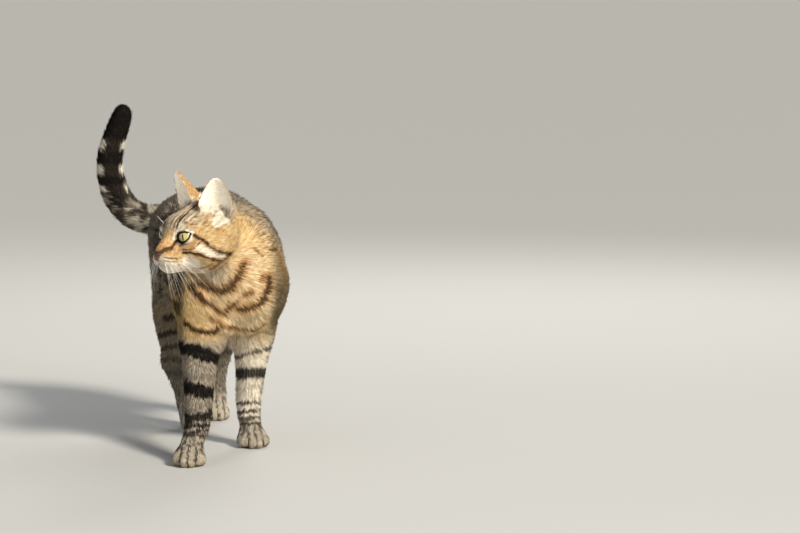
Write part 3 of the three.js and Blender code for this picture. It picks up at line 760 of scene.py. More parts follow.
def draw_breast(coat):
    """The broken bands round the throat and the breast, black with rusty edges."""
    reach = coat.neck + coat.trunk + coat.fore
    body = np.clip(reach * 1.5, 0, 1)
    for half, black, rust, line in BREAST_LINES:
        gap = coat.gap(line, coat.places / MM, reach > 0.02)
        wide = half * (1 + 0.3 * coat.wobble)
        mark = smoothstep(wide * 1.5, wide * 0.5, gap)
        coat.darken(0.93 * black * mark * body)
        coat.pale *= 1 - 0.85 * smoothstep(wide * 2.2, wide, gap) * body
        coat.redden(rust * smoothstep(wide * 2.6, wide * 1.1, gap) * body)


def draw_trunk(coat):
    """Black lines on and beside the spine, broken bars down the flanks, darker flanks and shoulders, and
    painted shade over the right flank and right shoulder.
    """
    x, y, z, wobble, up = coat.x, coat.y, coat.z, coat.wobble, coat.normals[:, 2]
    neck, trunk, fore = coat.neck, coat.trunk, coat.fore
    sway = y + 0.35 * (z - 210) + 7 * wobble
    bars = smoothstep(0.15, 0.75, np.sin(sway * (2 * math.pi / 27)))
    broken = smoothstep(-0.5, 0.25, ripple(coat.places, 30, 3) + 0.15)
    sides = smoothstep(0.98, 0.75, abs(up)) * smoothstep(-128, -100, y)
    spine = smoothstep(13, 7, abs(x - 6 + 3 * wobble)) * (up > 0.3)
    edge = smoothstep(17, 12, abs(abs(x - 6) - 24 + 4 * wobble) * 2.2) * (up > 0.2)
    stripe = smoothstep(-0.2, 0.5, np.sin(sway * (2 * math.pi / 30) + 1))
    # Painted shade: the right flank and right shoulder are darkened as if in shadow. The stripes in it are
    # the coat's own.
    painted_shade_right = (trunk + neck) * smoothstep(0, -30, x) * smoothstep(262, 240, z)
    painted_shade_right += fore * smoothstep(-24, -36, x) * smoothstep(118, 145, z)
    left_flank = trunk + neck + fore * smoothstep(125, 150, z)
    left_flank = left_flank * smoothstep(62, 76, x) * smoothstep(-172, -142, y)
    coat.darken(
        0.8 * trunk * bars * broken * sides * smoothstep(296, 268, z + 4 * wobble),
        trunk * spine * 0.85 * smoothstep(-110, -60, y),
        trunk * edge * 0.5 * smoothstep(-0.2, 0.4, ripple(coat.places, 16, 4)),
        (0.55 + 0.35 * stripe) * painted_shade_right,
        (0.58 + 0.25 * smoothstep(235, 190, z)) * left_flank,
        (0.46 * trunk + 0.14 * neck) * smoothstep(-170, -125, y) * smoothstep(225, 265, z) * (x > 0),
    )


def draw_limbs(coat):
    """Bars round each leg, dark hocks and outer edges, darker along the furrows between the toes, and painted
    shade over the hind legs towards the back and on the lower right foreleg.
    """
    x, z, fine, share = coat.x, coat.z, coat.fine, coat.share
    for name, bars in LEG_BARS.items():
        limb = share(name) + share(name.replace("leg", "paw"))
        across_leg = x - middle(name)[0] / MM * 0.4 - (-14 if "right" in name else 58) * 0.6
        for height, half, slope, black in bars:
            wide = half * (1 + 0.22 * coat.wobble)
            bowed = height + slope * across_leg - 0.006 * across_leg**2 + 1.2 * fine
            mark = smoothstep(wide * 1.25, wide * 0.75, abs(z - bowed))
            gaps = 1 if height < 130 else smoothstep(-0.35, 0.1, ripple(coat.places, 34, 10))
            coat.darken(black * mark * limb * gaps)
    outwards, backwards = coat.normals[:, 0], coat.normals[:, 1]
    hock_back = coat.hind * smoothstep(0.2, 0.7, backwards) * smoothstep(110, 70, z)
    outer_edge = coat.fore * smoothstep(0.55, 0.88, outwards) * (x > 40) * smoothstep(-0.6, 0.3, fine)
    coat.darken(
        0.85 * hock_back,
        0.65 * outer_edge,
        # painted shade: the hind legs darker towards the back
        0.4 * coat.hind * smoothstep(-20, 10, coat.y),
        # paws a little darker overall, and painted shade on the lower right foreleg
        0.18 * coat.paws + 0.26 * share("foreleg_right") * smoothstep(132, 112, z),
    )
    for name in PAW_HEADING:
        across, forward, _ = in_paw(coat.places, name)
        streak = sum(np.exp(-(((across - c + 1.2 * fine) / 1.3) ** 2)) for c in FURROWS)
        mottle = smoothstep(-0.1, 0.3, ripple(coat.places, 9, 12))
        coat.darken(
            0.9 * share(name) * streak * smoothstep(0, 7, forward),
            0.8 * share(name) * mottle * smoothstep(15, 3, forward),
        )


def rings_at(z, heights):
    """1 in each of the bands of height, with soft edges."""
    return sum(smoothstep(low - 2, low + 2, z) * smoothstep(high + 2, high - 2, z) for high, low in heights)


def draw_tail(coat):
    """Mottled where it lies low; where it stands, black rings and a black tip, joined along its ridge."""
    x, z, tail = coat.x, coat.z, coat.tail
    upright = tail * np.maximum(smoothstep(-60, -72, x), smoothstep(300, 320, z))
    facing = 0.17 * coat.normals[:, 0] - 0.98 * coat.normals[:, 1]
    ridge = smoothstep(0.6, 0.85, facing + 0.08 * coat.fine) * (z > 262)
    mottle = smoothstep(-0.35, 0.45, ripple(coat.places, 20, 5))
    dark_rings = np.maximum(np.clip(rings_at(z, TAIL_DARK), 0, 1), 0.95 * ridge)
    pale_rings = np.clip(rings_at(z, TAIL_PALE), 0, 1) * (1 - ridge)
    coat.dark = coat.dark * (1 - tail) + tail * (0.2 + 0.65 * mottle)
    coat.dark = coat.dark * (1 - upright) + upright * dark_rings
    coat.darken(upright * smoothstep(284, 276, z) * (0.35 + 0.5 * mottle))
    coat.warm = coat.warm * (1 - tail) + 0.02 * tail
    coat.pale = coat.pale * (1 - tail) + tail * (0.1 + 0.75 * pale_rings + 0.35 * (1 - mottle) * (1 - ridge))
    coat.pale *= 1 - tail * smoothstep(342, 348, z)


def tick(coat):
    """Clumps of darker and paler hair everywhere, strongest on the back, the flanks and the crown."""
    trunk, neck, head = coat.trunk, coat.neck, coat.head
    clump = 0.75 * ripple(coat.places, 6, 8) + 0.75 * ripple(coat.places, 3.2, 9)
    strong = 0.2 + 0.2 * trunk + 0.15 * neck + 0.12 * head + 0.14 * coat.forehead + 0.1 * coat.fore
    strong = strong - 0.2 * coat.near_eye - 0.15 * coat.cup
    strong = strong + 0.25 * (trunk + neck) * smoothstep(-170, -135, coat.y) * smoothstep(225, 255, coat.z)
    strong = strong * (1 - 0.7 * head * np.clip(coat.muzzle + coat.chin, 0, 1))
    coat.dark = coat.dark + strong * np.clip(clump, 0, 1) * (1 - coat.dark)
    coat.pale = coat.pale + 0.7 * strong * np.clip(-clump, 0, 1)


def shares_at(places, share, normals):
    """The coat's four colour shares at points on its outline. share gives a part's share of each point."""
    coat = Coat(places, share, normals)
    for step in (colour_ground, colour_muzzle, colour_eye_rims, draw_face, colour_ears, draw_breast,
                 draw_trunk, draw_limbs, draw_tail, tick):
        step(coat)
    return tuple(np.clip(v, 0, 1) for v in (coat.dark, coat.warm, coat.pale, coat.red))


class Wire:
    """An output in a material's nodes. An expression on wires and numbers becomes Math nodes."""

    def __init__(self, paint, socket):
        self.paint, self.socket = paint, socket

    def _math(self, operation, *values):
        return self.paint.node("ShaderNodeMath", {"operation": operation}, dict(enumerate(values)))

    def __add__(self, other):
        return self._math("ADD", self, other)

    def __sub__(self, other):
        return self._math("SUBTRACT", self, other)

    def __rsub__(self, other):
        return self._math("SUBTRACT", other, self)

    def __mul__(self, other):
        return self._math("MULTIPLY", self, other)

    def __truediv__(self, other):
        return self._math("DIVIDE", self, other)

    def __pow__(self, other):
        return self._math("POWER", self, other)

    __radd__, __rmul__ = __add__, __mul__

    def between(self, low, high):
        """0 at low and 1 at high, with soft ends."""
        inputs = {"Value": self, "From Min": low, "From Max": high}
        return self.paint.node("ShaderNodeMapRange", {"interpolation_type": "SMOOTHSTEP"}, inputs)


class Paint:
    """A material and its nodes."""

    def __init__(self, name):
        self.material = bpy.data.materials.new(name)
        self.material.use_nodes = True
        self.tree = self.material.node_tree
        self.shader = self.tree.nodes["Principled BSDF"]

    def put(self, socket, value):
        """Links a wire to a socket, or sets the socket's value."""
        if isinstance(value, Wire):
            self.tree.links.new(value.socket, socket)
        elif isinstance(value, tuple) and len(value) == 3 and len(socket.default_value) == 4:
            socket.default_value = (*value, 1)
        else:
            socket.default_value = value

    def node(self, kind, settings, inputs, output=0):
        """A new node with its settings and inputs, as the wire from one of its outputs."""
        made = self.tree.nodes.new(kind)
        for key, value in settings.items():
            setattr(made, key, value)
        for key, value in inputs.items():
            self.put(made.inputs[key], value)
        return Wire(self, made.outputs[output])

    def share(self, name):
        """A value kept on the mesh."""
        return self.node("ShaderNodeAttribute", {"attribute_name": name}, {}, "Fac")

    def blend(self, amount, first, second):
        """The first colour at 0 and the second at 1. A Mix node's colours are inputs 6 and 7 and output 2."""
        settings = {"data_type": "RGBA", "clamp_factor": True}
        return self.node("ShaderNodeMix", settings, {0: amount, 6: first, 7: second}, 2)

    def place(self):
        return self.node("ShaderNodeTexCoord", {}, {}, "Object")

    def noise(self, size, detail=2.0):
        """Noise whose grains are about the given size in millimetres, 0 to 1."""
        inputs = {"Vector": self.place(), "Scale": 1 / (size * MM), "Detail": detail}
        return self.node("ShaderNodeTexNoise", {}, inputs, "Fac")

    def finish(self, **sockets):
        for key, value in sockets.items():
            self.put(self.shader.inputs[key.replace("_", " ")], value)
        return self.material


GREY_GROUND = (0.165, 0.13, 0.098)
WARM_GROUND = (0.74, 0.475, 0.165)
CREAM = (0.86, 0.78, 0.64)
RUST = (0.5, 0.21, 0.05)
BLACK_BROWN = (0.006, 0.005, 0.0045)


def fur_material(name, grain, bump, painted_glow=0.0):
    """Tabby hair from the four colour shares, with flecks of grain millimetres. Pale hair may carry a painted
    glow.
    """
    paint = Paint(name)
    fleck = paint.noise(grain) - 0.5
    ground = paint.blend(paint.share("warm") + 0.3 * fleck, GREY_GROUND, WARM_GROUND)
    ground = paint.blend(paint.share("red") * (0.8 + 0.5 * fleck), ground, RUST)
    ground = paint.blend(paint.share("pale") + 0.2 * fleck, ground, CREAM)
    colour = paint.blend(paint.share("dark") * (1.0 + 0.25 * fleck), ground, BLACK_BROWN)
    sockets = {"Base_Color": colour, "Roughness": 0.85, "Specular_IOR_Level": 0.05}
    if bump:
        down = {"Height": paint.noise(grain * 0.6, 3.0), "Strength": 0.5, "Distance": 0.4 * MM}
        sockets["Normal"] = paint.node("ShaderNodeBump", {}, down)
    # Painted glow: pale hair gives off a little cream light of its own, standing in for light shining through
    # thin ears.
    if painted_glow:
        painted_glow_colour = tuple(painted_glow * v for v in CREAM)
        sockets["Emission_Color"] = paint.blend(paint.share("pale"), (0, 0, 0), painted_glow_colour)
        sockets["Emission_Strength"] = 1.0
    return paint.finish(**sockets)


# The cup of each ear faces forwards, inside its rim. The tufts in it keep to its middle.
EAR_FACING = {"ear_right": (-0.2, -0.98, 0), "ear_left": (0.6, -0.8, 0)}
normal_in_head = skin_normals @ head_axes
ear_cup, cup_middle = 0, 0
for name, way in EAR_FACING.items():
    way = unit(np.array(way))
    sideways = np.cross(way, (0, 0, 1))
    aside = (in_head(skin_places) - in_head(middle(name))) @ sideways
    outwards = normal_in_head @ sideways * np.sign(aside)
    inside = share_of(name) * smoothstep(0.0, 0.3, normal_in_head @ way) * smoothstep(0.55, 0.3, outwards)
    ear_cup = ear_cup + inside
    cup_middle = cup_middle + inside * smoothstep(12, 7, abs(aside))
ear_cup = np.clip(ear_cup / np.maximum(share_of("ear"), 0.05), 0, 1)
share_columns = np.column_stack([share_table, ear_cup])


def colour_in(mesh, values):
    """Keeps the four colour shares on a mesh, for its material to read."""
    for name, value in zip(("dark", "warm", "pale", "red"), values):
        mesh.attributes.new(name, "FLOAT", "POINT").data.foreach_set("value", np.asarray(value, np.float32))


def laid_on(surface, lines):
    """The lines with a point every few millimetres, each brought to the nearest place on a surface."""
    laid = []
    for half, black, rust, line in lines:
        line = np.asarray(line, float)
        points = [line[0]]
        for a, b in zip(line, line[1:]):
            steps = max(1, round(np.linalg.norm(b - a) / LINE_STEP))
            points += [a + (b - a) * k / steps for k in range(1, steps + 1)]
        line = np.array([surface[np.argmin(((surface - p) ** 2).sum(1))] for p in points])
        laid.append((half, black, rust, line))
    return laid


outline_places = skin_places + skin_normals * (coat_depth * MM)[:, None]
outline_head = in_head(outline_places)
left_face = outline_head[(outline_head[:, 0] > -3) & (share_of("head", "nose", "eye") > 0.3)]
body_outline = outline_places[share_of("neck", "trunk", "foreleg") > 0.3] / MM
FACE_LINES = laid_on(left_face, FACE_LINES)
BREAST_LINES = laid_on(body_outline, BREAST_LINES)
colour_in(skin.data, shares_at(outline_places, shares_from(share_columns), skin_normals))
skin.data.materials.append(fur_material("skin_with_down", 0.7, True))

# ------------------------------------------------------------------------------- the coat
# Short, soft guard hair in locks of a few hairs each. Every lock is one thin closed sliver, rooted in the
# skin, that follows the lie of the coat: finest on the face and feet, longest on throat, flanks and tail.

HAIR_LENGTH = {
    "trunk": 14.5, "neck": 13, "head": 7, "ear": 3.4, "eye": 2.2, "nose": 2, "foreleg": 9, "hindleg": 10.5,
    "forepaw": 5, "hindpaw": 5, "tail": 14,
}
HAIR_WIDTH = {
    "trunk": 1.15, "neck": 1.1, "head": 0.62, "ear": 0.45, "eye": 0.4, "nose": 0.4, "foreleg": 0.85,
    "hindleg": 0.95, "forepaw": 0.6, "hindpaw": 0.6, "tail": 1.15,
}
SHORTEST, FINEST = 1.6, 0.3
RING_AT = 0.45  # a lock's broad ring lies this far along it,
RING_LOFT = 0.62  # and this far up to the height of its tip
ROOT_DEEP = 0.3  # its root sinks this far into the skin
LOCK_FLAT = 0.42  # its thickness for its width
PATCH = 0.003  # the side of a lock's own patch on the OFBake map
LOCK_FACES = np.array([[0, 2, 1], [0, 3, 2], [0, 1, 3], [4, 1, 2], [4, 2, 3], [4, 3, 1]])  # root, ring, tip

skin_tree = BVHTree.FromPolygons(skin_places.tolist(), skin_faces.tolist(), all_triangles=True)
here = in_head(skin_places)
height = skin_places[:, 2] / MM
muzzle_near = smoothstep(24, 12, np.linalg.norm(here - (0, -22, -22), axis=1))
cheek = smoothstep(24, 38, abs(here[:, 0])) * smoothstep(2, -16, here[:, 2])
hair_length = blended(HAIR_LENGTH) - 3.6 * face_front - 1.2 * muzzle_near * share_of("head", "nose")
hair_length = np.maximum(hair_length + 1.5 * cheek * share_of("head"), SHORTEST)
hair_length *= 1 - 0.25 * smoothstep(140, 60, height) * share_of("foreleg", "hindleg")
hair_width = np.maximum(blended(HAIR_WIDTH) - 0.14 * face_front + 0.2 * cheek * share_of("head"), FINEST)

# No hair grows in the eyes' openings, on the nose leather or on the soles.
across, up, radius = own_eye_angles(here)
bare = smoothstep(-7, -2.5, almond(across, up)) * (radius < 13)
bare = np.maximum(bare, smoothstep(0.35, 0.6, share_of("nose")))
growth = 1 - np.maximum(bare, smoothstep(2.4, 1.2, height))


def scatter(near, count, random):
    """Places on the skin marked near, closest where hair is fine: their faces and the corners' weights."""
    a, b, c = (skin_places[skin_faces[:, k]] for k in range(3))
    area = np.linalg.norm(np.cross(b - a, c - a), axis=1) / 2
    size = (hair_width * np.sqrt(hair_length))[skin_faces].mean(1)
    wanted = area * (near * growth)[skin_faces].mean(1) / size**0.7
    chosen = np.searchsorted(np.cumsum(wanted) / wanted.sum(), random.random(count))
    chosen = np.minimum(chosen, len(skin_faces) - 1)
    s, t = random.random((2, count))
    flip = s + t > 1
    s, t = np.where(flip, 1 - s, s), np.where(flip, 1 - t, t)
    return skin_faces[chosen], np.stack([1 - s - t, s, t], axis=1)


def settle(points):
    """The nearest places on the skin, their normals and the lie there."""
    found = [skin_tree.find_nearest(p) for p in points.tolist()]
    on = np.array([f[0].to_tuple() for f in found])
    faces = skin_faces[[f[2] for f in found]]
    return on, unit(skin_normals[faces].mean(1)), lie[faces].mean(1)


def lay_locks(at_root, count, lift, stretch, random):
    """Bends each lock along the coat: its root, its ring, its five corners, and how each is to face."""
    roots, normals = at_root(skin_places), unit(at_root(skin_normals))
    way = flat_on(at_root(lie), normals)
    length = at_root(hair_length) * stretch * random.normal(1, 0.14, count).clip(0.6, 1.4)
    width = at_root(hair_width) * random.normal(1, 0.2, count).clip(0.5, 1.6)

    # Each lock turns a little aside, and in drifts with its neighbours. One in ten strays higher.
    turn = np.radians(random.normal(0, 6, count) + 9 * ripple(roots, 26, 6) + 5 * ripple(roots, 9, 7))
    way = way * np.cos(turn)[:, None] + np.cross(normals, way) * np.sin(turn)[:, None]
    stray = (random.random(count) < 0.1) * (1 - at_root(face_front)) * random.uniform(0.1, 0.45, count)
    loft = at_root(coat_depth) * lift * (random.uniform(0.62, 1.04, count) + stray)

    # The ring and the tip stand over the nearest places on the skin, so that the lock follows its curve.
    on, ring_normals, ring_lie = settle(roots + way * (RING_AT * length * MM)[:, None])
    ring_way = flat_on(ring_lie * 0.6 + way * 0.9, ring_normals)
    ring = on + ring_normals * (RING_LOFT * loft * MM)[:, None]
    on, tip_normals, _ = settle(on + ring_way * ((1 - RING_AT) * length * MM)[:, None])
    tips = on + tip_normals * (loft * MM)[:, None]
    side = unit(np.cross(ring_normals, unit(tips - roots)))
    half = (width * MM / 2)[:, None]
    sunk = roots - normals * ROOT_DEEP * MM
    left = ring - side * half - ring_normals * half * LOCK_FLAT
    right = ring + side * half - ring_normals * half * LOCK_FLAT
    top = ring + ring_normals * half * LOCK_FLAT * 1.3
    soft = [normals, ring_normals - 0.75 * side, ring_normals + 0.75 * side, ring_normals, tip_normals]
    return roots, ring, np.stack([sunk, left, right, top, tips], axis=1), np.stack(soft, axis=1)


def tint_locks(table, ring, tips, ring_normals, random):
    """The shares at each lock's corners: darker roots, partly the grey base of ticked hair and partly painted
    shade deep in the coat, a pale band and often a dark tip, as ticked hair has.
    """
    count = len(ring)
    dark, warm, pale, red = shares_at((ring + tips) / 2, shares_from(table), ring_normals)
    luck = random.random(count)
    shade = random.normal(0, 1, count)
    ticked = (luck < 0.4) * (1 - 0.8 * pale) * random.uniform(0.25, 0.85, count)
    band = 0.1 * (luck > 0.75)
    # The root is darker and less pale: partly ticked hair's grey base, partly painted shade deep in the coat.
    dark_at = [dark * 0.85 + 0.12, *[dark + 0.04 * shade] * 3, np.maximum(dark, ticked)]
    pale_at = [pale * 0.7, *[pale + band + 0.05 * shade] * 3, pale + 0.06 * shade + band]
    warm_at = [warm + 0.07 * random.normal(0, 1, count)] * 5
    red_at = [red * random.uniform(0.7, 1.3, count)] * 5
    return [np.clip(np.stack(v, axis=1), 0, 1).ravel() for v in (dark_at, warm_at, pale_at, red_at)]


def lay_patches(roots):
    """Each lock's own patch: its ring across the middle, its root on one side and its tip on the other."""
    count = len(roots)
    out = roots - roots.mean(0)
    axis = unit(np.linalg.svd(out, full_matrices=False)[2][0])
    side_a = unit(np.cross(axis, (0.3, 0.2, 0.9)))
    around = np.arctan2(out @ np.cross(axis, side_a), out @ side_a)
    rows = math.ceil(math.sqrt(count))
    row, column = np.empty(count, int), np.empty(count, int)
    row[np.argsort(out @ axis, kind="stable")] = np.arange(count) // rows
    column[np.lexsort((around, row))] = np.arange(count) % rows
    corner = np.stack([(column + 0.5) / rows - PATCH / 2, (row + 0.5) / rows - PATCH / 2], axis=1)
    patch = []
    for k, (point, _, _) in enumerate(LOCK_FACES):
        low, high = (k % 3 / 3, 0.5), ((k % 3 + 1) / 3, 0.5)
        is_root = point == 0
        patch.append([((k % 3 + 0.5) / 3, 0 if is_root else 1), *((high, low) if is_root else (low, high))])
    return corner[:, None, None, :] + PATCH * np.array(patch)[None]


def grow_coat(name, near, count, seed, lift=1.0, stretch=1.0, hair=None):
    """Grows count locks over the corners marked near, as one piece. Lift and stretch make them stand out."""
    random = np.random.default_rng(seed)
    corners, weights = scatter(near, count, random)

    def at_root(values):
        return np.einsum("ij,ij...->i...", weights, values[corners])

    roots, ring, places, facing = lay_locks(at_root, count, lift, stretch, random)
    faces = (np.arange(count)[:, None, None] * 5 + LOCK_FACES).reshape(-1, 3)
    mesh = bpy.data.meshes.new(name)
    mesh.vertices.add(count * 5)
    mesh.vertices.foreach_set("co", places.astype(np.float32).ravel())
    mesh.loops.add(len(faces) * 3)
    mesh.loops.foreach_set("vertex_index", faces.astype(np.int32).ravel())
    mesh.polygons.add(len(faces))
    mesh.polygons.foreach_set("loop_start", np.arange(0, len(faces) * 3, 3, dtype=np.int32))
    mesh.update(calc_edges=True)
    mesh.shade_smooth()
    mesh.uv_layers.new(name="OFBake").uv.foreach_set("vector", lay_patches(roots).astype(np.float32).ravel())
    colour_in(mesh, tint_locks(at_root(share_columns), ring, places[:, 4], facing[:, 3], random))
    mesh.normals_split_custom_set_from_vertices(unit(facing).reshape(-1, 3).astype(np.float32))
    mesh.materials.append(hair or fur)
    piece = in_scene(name, mesh)
    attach(piece, "root")


fur = fur_material("tabby_fur", 1.6, False)
ear_fur_painted_glow = fur_material("ear_fur_painted_glow", 1.6, False, painted_glow=0.34)  # painted glow in the ears' pale hair, standing in for light shining through the thin ears
left_half = smoothstep(4, 8, skin_places[:, 0] / MM)
face_here = share_of("head", "eye", "nose")
in_front = smoothstep(0, 1, face_front + 0.02)
tuft_here = cup_middle * smoothstep(38, 26, here[:, 2])
grow_coat("coat_face", face_here * in_front, 31000, 11)
grow_coat("coat_head", face_here * (1 - face_front), 23000, 12)
grow_coat("coat_ears", share_of("ear"), 13000, 13, hair=ear_fur_painted_glow)
grow_coat("coat_ear_tufts", tuft_here, 1600, 21, lift=3.0, stretch=2.2, hair=ear_fur_painted_glow)
grow_coat("coat_neck", share_of("neck"), 28000, 14)
grow_coat("coat_left_side", share_of("trunk") * left_half, 29000, 15)
grow_coat("coat_right_side", share_of("trunk") * (1 - left_half), 27000, 16)
grow_coat("coat_forelegs", share_of("foreleg"), 30000, 17)
grow_coat("coat_hindlegs", share_of("hindleg"), 26000, 18)
grow_coat("coat_paws", share_of("forepaw", "hindpaw"), 17000, 19)
grow_coat("coat_tail", share_of("tail"), 24000, 20)

# ------------------------------------------------------------------------------- eyes
# Glass eyeballs with a raised cornea, set in the sockets from behind: a yellow-green iris round a narrow
# slit, a dark line round the iris, and a wet gloss over all.

GAZE = {1: 27.0, -1: 1.0}  # degrees that each eye looks outwards
IRIS_RADIUS = 6.9
SLIT_WIDE, SLIT_HIGH = 0.95, 3.8  # half the pupil's width and height, in millimetres
CORNEA = 0.8  # how far it stands out
INNER_IRIS, OUTER_IRIS = (0.52, 0.40, 0.12), (0.34, 0.33, 0.105)
IRIS_LINE, PUPIL = (0.03, 0.025, 0.012), (0.004, 0.004, 0.005)


def iris_material(name, centre, outward, above):
    """An iris drawn on the glass: outward and above are the eye's own ways across and up."""
    paint = Paint(name)

    def vector(operation, *values, output=0):
        return paint.node("ShaderNodeVectorMath", {"operation": operation}, dict(enumerate(values)), output)

    out = vector("SUBTRACT", paint.place(), tuple(centre))
    across, up = (vector("DOT_PRODUCT", out, tuple(axis), output="Value") / MM for axis in (outward, above))
    from_middle = (across * across + up * up) ** 0.5
    slit = (across * across / SLIT_WIDE**2 + up * up / SLIT_HIGH**2) ** 0.5
    spoke = vector("NORMALIZE", paint.node("ShaderNodeCombineXYZ", {}, {"X": across, "Y": up, "Z": 0.0}))
    spokes = paint.node("ShaderNodeTexNoise", {}, {"Vector": spoke, "Scale": 9.0, "Detail": 3.0}, "Fac")
    iris = paint.blend(from_middle.between(1.5, 6.5) + 0.5 * (spokes - 0.5), INNER_IRIS, OUTER_IRIS)
    iris = paint.blend(from_middle.between(IRIS_RADIUS - 1.7, IRIS_RADIUS + 0.1), iris, IRIS_LINE)
    return paint.finish(
        Base_Color=paint.blend(slit.between(1.25, 0.85), iris, PUPIL), Roughness=0.22, Coat_Weight=1.0,
        Coat_Roughness=0.02, Specular_IOR_Level=0.5)


def eyeball(name, side):
    centre = middle(name)
    forward, outward = (way @ head_axes.T for way in side_ways(side, GAZE[side]))
    above = head_axes[:, 2]
    bm = bmesh.new()
    bmesh.ops.create_uvsphere(bm, u_segments=56, v_segments=36, radius=1)
    ball = np.array([v.co for v in bm.verts])
    faces = [[v.index for v in f.verts] for f in bm.faces]
    bm.free()
    off_axis = np.degrees(np.arccos(np.clip(ball[:, 2], -1, 1)))
    raised = EYE_RADIUS + CORNEA * np.exp(-((off_axis / 36) ** 2)) - 0.25 * smoothstep(60, 100, off_axis)
    turned = np.outer(ball[:, 0], outward) + np.outer(ball[:, 1], above) + np.outer(ball[:, 2], forward)
    piece = shell(name + "_glass", centre + turned * (raised * MM)[:, None], faces)
    if np.dot(np.cross(outward, above), forward) < 0:
        piece.data.flip_normals()
    piece.data.materials.append(iris_material(name + "_iris", centre, outward, above))
    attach(piece, "root")
    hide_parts(name)


eyeball("eye_left", 1)
eyeball("eye_right", -1)

# ------------------------------------------------------------------------------- nose
# The bare leather of the nose: brick pink and finely pebbled, dark at its edges, with two comma-shaped
# nostrils parted by a groove. The nostrils are painted dark as well, as painted shade in their hollows.

NOSE_GRAIN = 0.4 * MM
NOSTRIL = [(1.9, -33.4, -19.0), (3.1, -32.6, -18.4), (4.6, -31.0, -18.6), (5.8, -29, -19.2)]  # the left one
NOSTRIL_DEEP, GROOVE_DEEP = 1.5, 0.35
solid_places, solid_normals, solid_faces = solids["nose"]
woven = woven_shell(solid_places + solid_normals * 0.25 * MM, solid_faces, NOSE_GRAIN)
bm = bmesh.new()
bm.from_mesh(woven)
nose_places, nose_faces, nose_links = cut_to_triangles(bm, woven)
nose_places = iron(nose_places, nose_links, 10)
here = in_head(nose_places)
gap, along = nearest_on(NOSTRIL, mirrored(here))
nostril = np.exp(-((gap / (0.95 - 0.35 * along)) ** 2))
groove = np.exp(-((here[:, 0] / 0.55) ** 2)) * smoothstep(-15, -18, here[:, 2])
normals = corner_normals(nose_places, nose_faces)
nose_places = nose_places - normals * ((NOSTRIL_DEEP * nostril + GROOVE_DEEP * groove) * MM)[:, None]
nose = shell("nose_leather", nose_places, nose_faces.tolist())
# The dark edge mark also covers the nostrils: painted shade in their hollows.
edge = smoothstep(-31.5, -28.5, here[:, 1]) + smoothstep(-17.5, -15.5, here[:, 2])
edge = np.clip(edge + nostril, 0, 1).astype(np.float32)
nose.data.attributes.new("edge", "FLOAT", "POINT").data.foreach_set("value", edge)
paint = Paint("nose_leather")
pebble_inputs = {"Vector": paint.place(), "Scale": 1 / (0.55 * MM)}
pebbles = paint.node("ShaderNodeTexVoronoi", {}, pebble_inputs, "Distance")
leather = paint.blend(paint.noise(2.0), (0.16, 0.045, 0.036), (0.10, 0.028, 0.022))
leather = paint.blend(paint.share("edge"), leather, (0.035, 0.016, 0.013))
nose.data.materials.append(paint.finish(
    Base_Color=leather, Roughness=0.42, Coat_Weight=0.25, Coat_Roughness=0.2,
    Normal=paint.node("ShaderNodeBump", {}, {"Height": pebbles, "Strength": 0.45, "Distance": 0.2 * MM})))
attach(nose, "root")
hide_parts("nose")

# ------------------------------------------------------------------------------- whiskers
# Stiff white hairs, thick at the root and fine at the tip: four rows on each side of the muzzle, and a few
# over each eye. They droop as they run out.

WHISKER_ROOT, WHISKER_TIP = 0.12, 0.02  # radii, in millimetres
WHISKER_SIDES, WHISKER_STEPS = 5, 12
WHISKERS_IN_ROWS, BROW_WHISKERS = (4, 4, 4, 3), 4


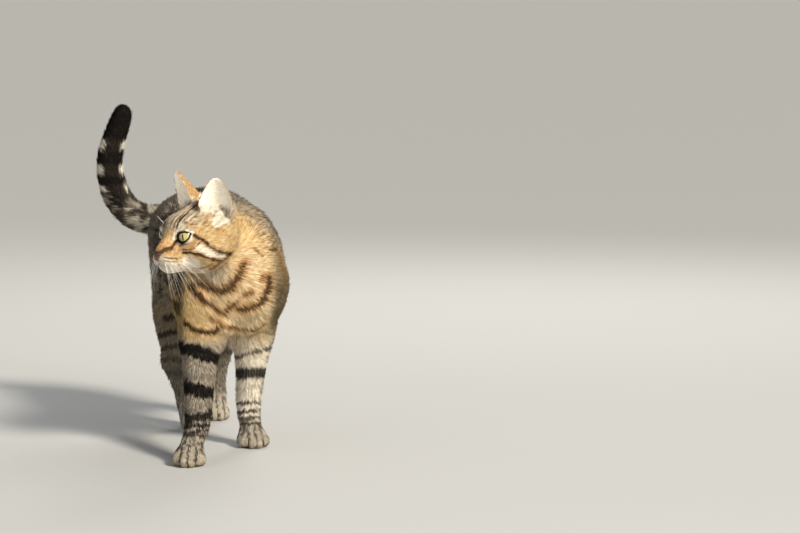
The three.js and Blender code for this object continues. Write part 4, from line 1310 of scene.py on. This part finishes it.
def whisker_plans(side, random):
    """Each whisker's root and way in the head's frame, its length, how it droops and how stout it is."""
    for row, in_row in enumerate(WHISKERS_IN_ROWS):
        for k in range(in_row):
            root = (side * (8.5 + 3.2 * k + 0.4 * row), -27.5 + 3.4 * k + 0.5 * row, -21.5 - 2.1 * row)
            way = (side * (0.62 + 0.08 * k), 0.02 + 0.16 * k - 0.1 * row, -0.30 - 0.22 * row)
            yield root, way, 30 + 6 * k + random.uniform(-4, 6), 0.62, 1.0
    for k in range(BROW_WHISKERS):
        root = (side * (13.5 + 2.6 * k), -10.5 + 1.2 * k, 12.5 + 0.6 * k)
        yield root, (side * (0.25 + 0.16 * k), -0.35, 0.85), 13 + random.uniform(-3, 4), 0.12, 0.5


def tapered_hair(line, thick):
    """The rings of a round hair along a line, one row of corners for each of the line's points."""
    tangent = unit(np.gradient(line, axis=0))
    a = unit(np.cross(tangent, (0.3, 0.9, 0.2)))
    b = np.cross(tangent, a)
    turns = np.linspace(0, 2 * math.pi, WHISKER_SIDES, endpoint=False)[None, :, None]
    return line[:, None] + thick[:, None] * (np.cos(turns) * a[:, None] + np.sin(turns) * b[:, None])


def whisker_set(name, side, seed):
    random = np.random.default_rng(seed)
    ring = np.arange(WHISKER_SIDES)
    places, faces = [], []
    for root, way, length, droop, stout in list(whisker_plans(side, random)):
        way = unit(np.array(way) + random.normal(0, 0.05, 3))
        root = in_head(np.array(skin_tree.find_nearest(tuple(from_head(root)))[0]))
        t = np.linspace(0, 1, WHISKER_STEPS)[:, None]
        line = root + way * length * t + np.array([0, 0.12, -1]) * droop * length * 0.55 * t**2
        thick = stout * WHISKER_ROOT * (1 - t) ** 0.8 + WHISKER_TIP
        first = len(places)
        places += tapered_hair(line, thick).reshape(-1, 3).tolist()
        for step in range(WHISKER_STEPS - 1):
            near = first + step * WHISKER_SIDES + ring
            onward = np.roll(near, -1)
            faces += np.stack([near, onward, onward + WHISKER_SIDES, near + WHISKER_SIDES], axis=1).tolist()
        faces += [(first + ring[::-1]).tolist(), (len(places) - WHISKER_SIDES + ring).tolist()]
    piece = shell(name, from_head(np.array(places)), faces)
    piece.data.materials.append(whisker_material)
    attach(piece, "root")


paint = Paint("whisker_hair")
whisker_material = paint.finish(
    Base_Color=paint.blend(paint.noise(3.0), (0.92, 0.9, 0.86), (0.82, 0.79, 0.73)), Roughness=0.35)
whisker_set("whiskers_left", 1, 31)
whisker_set("whiskers_right", -1, 32)
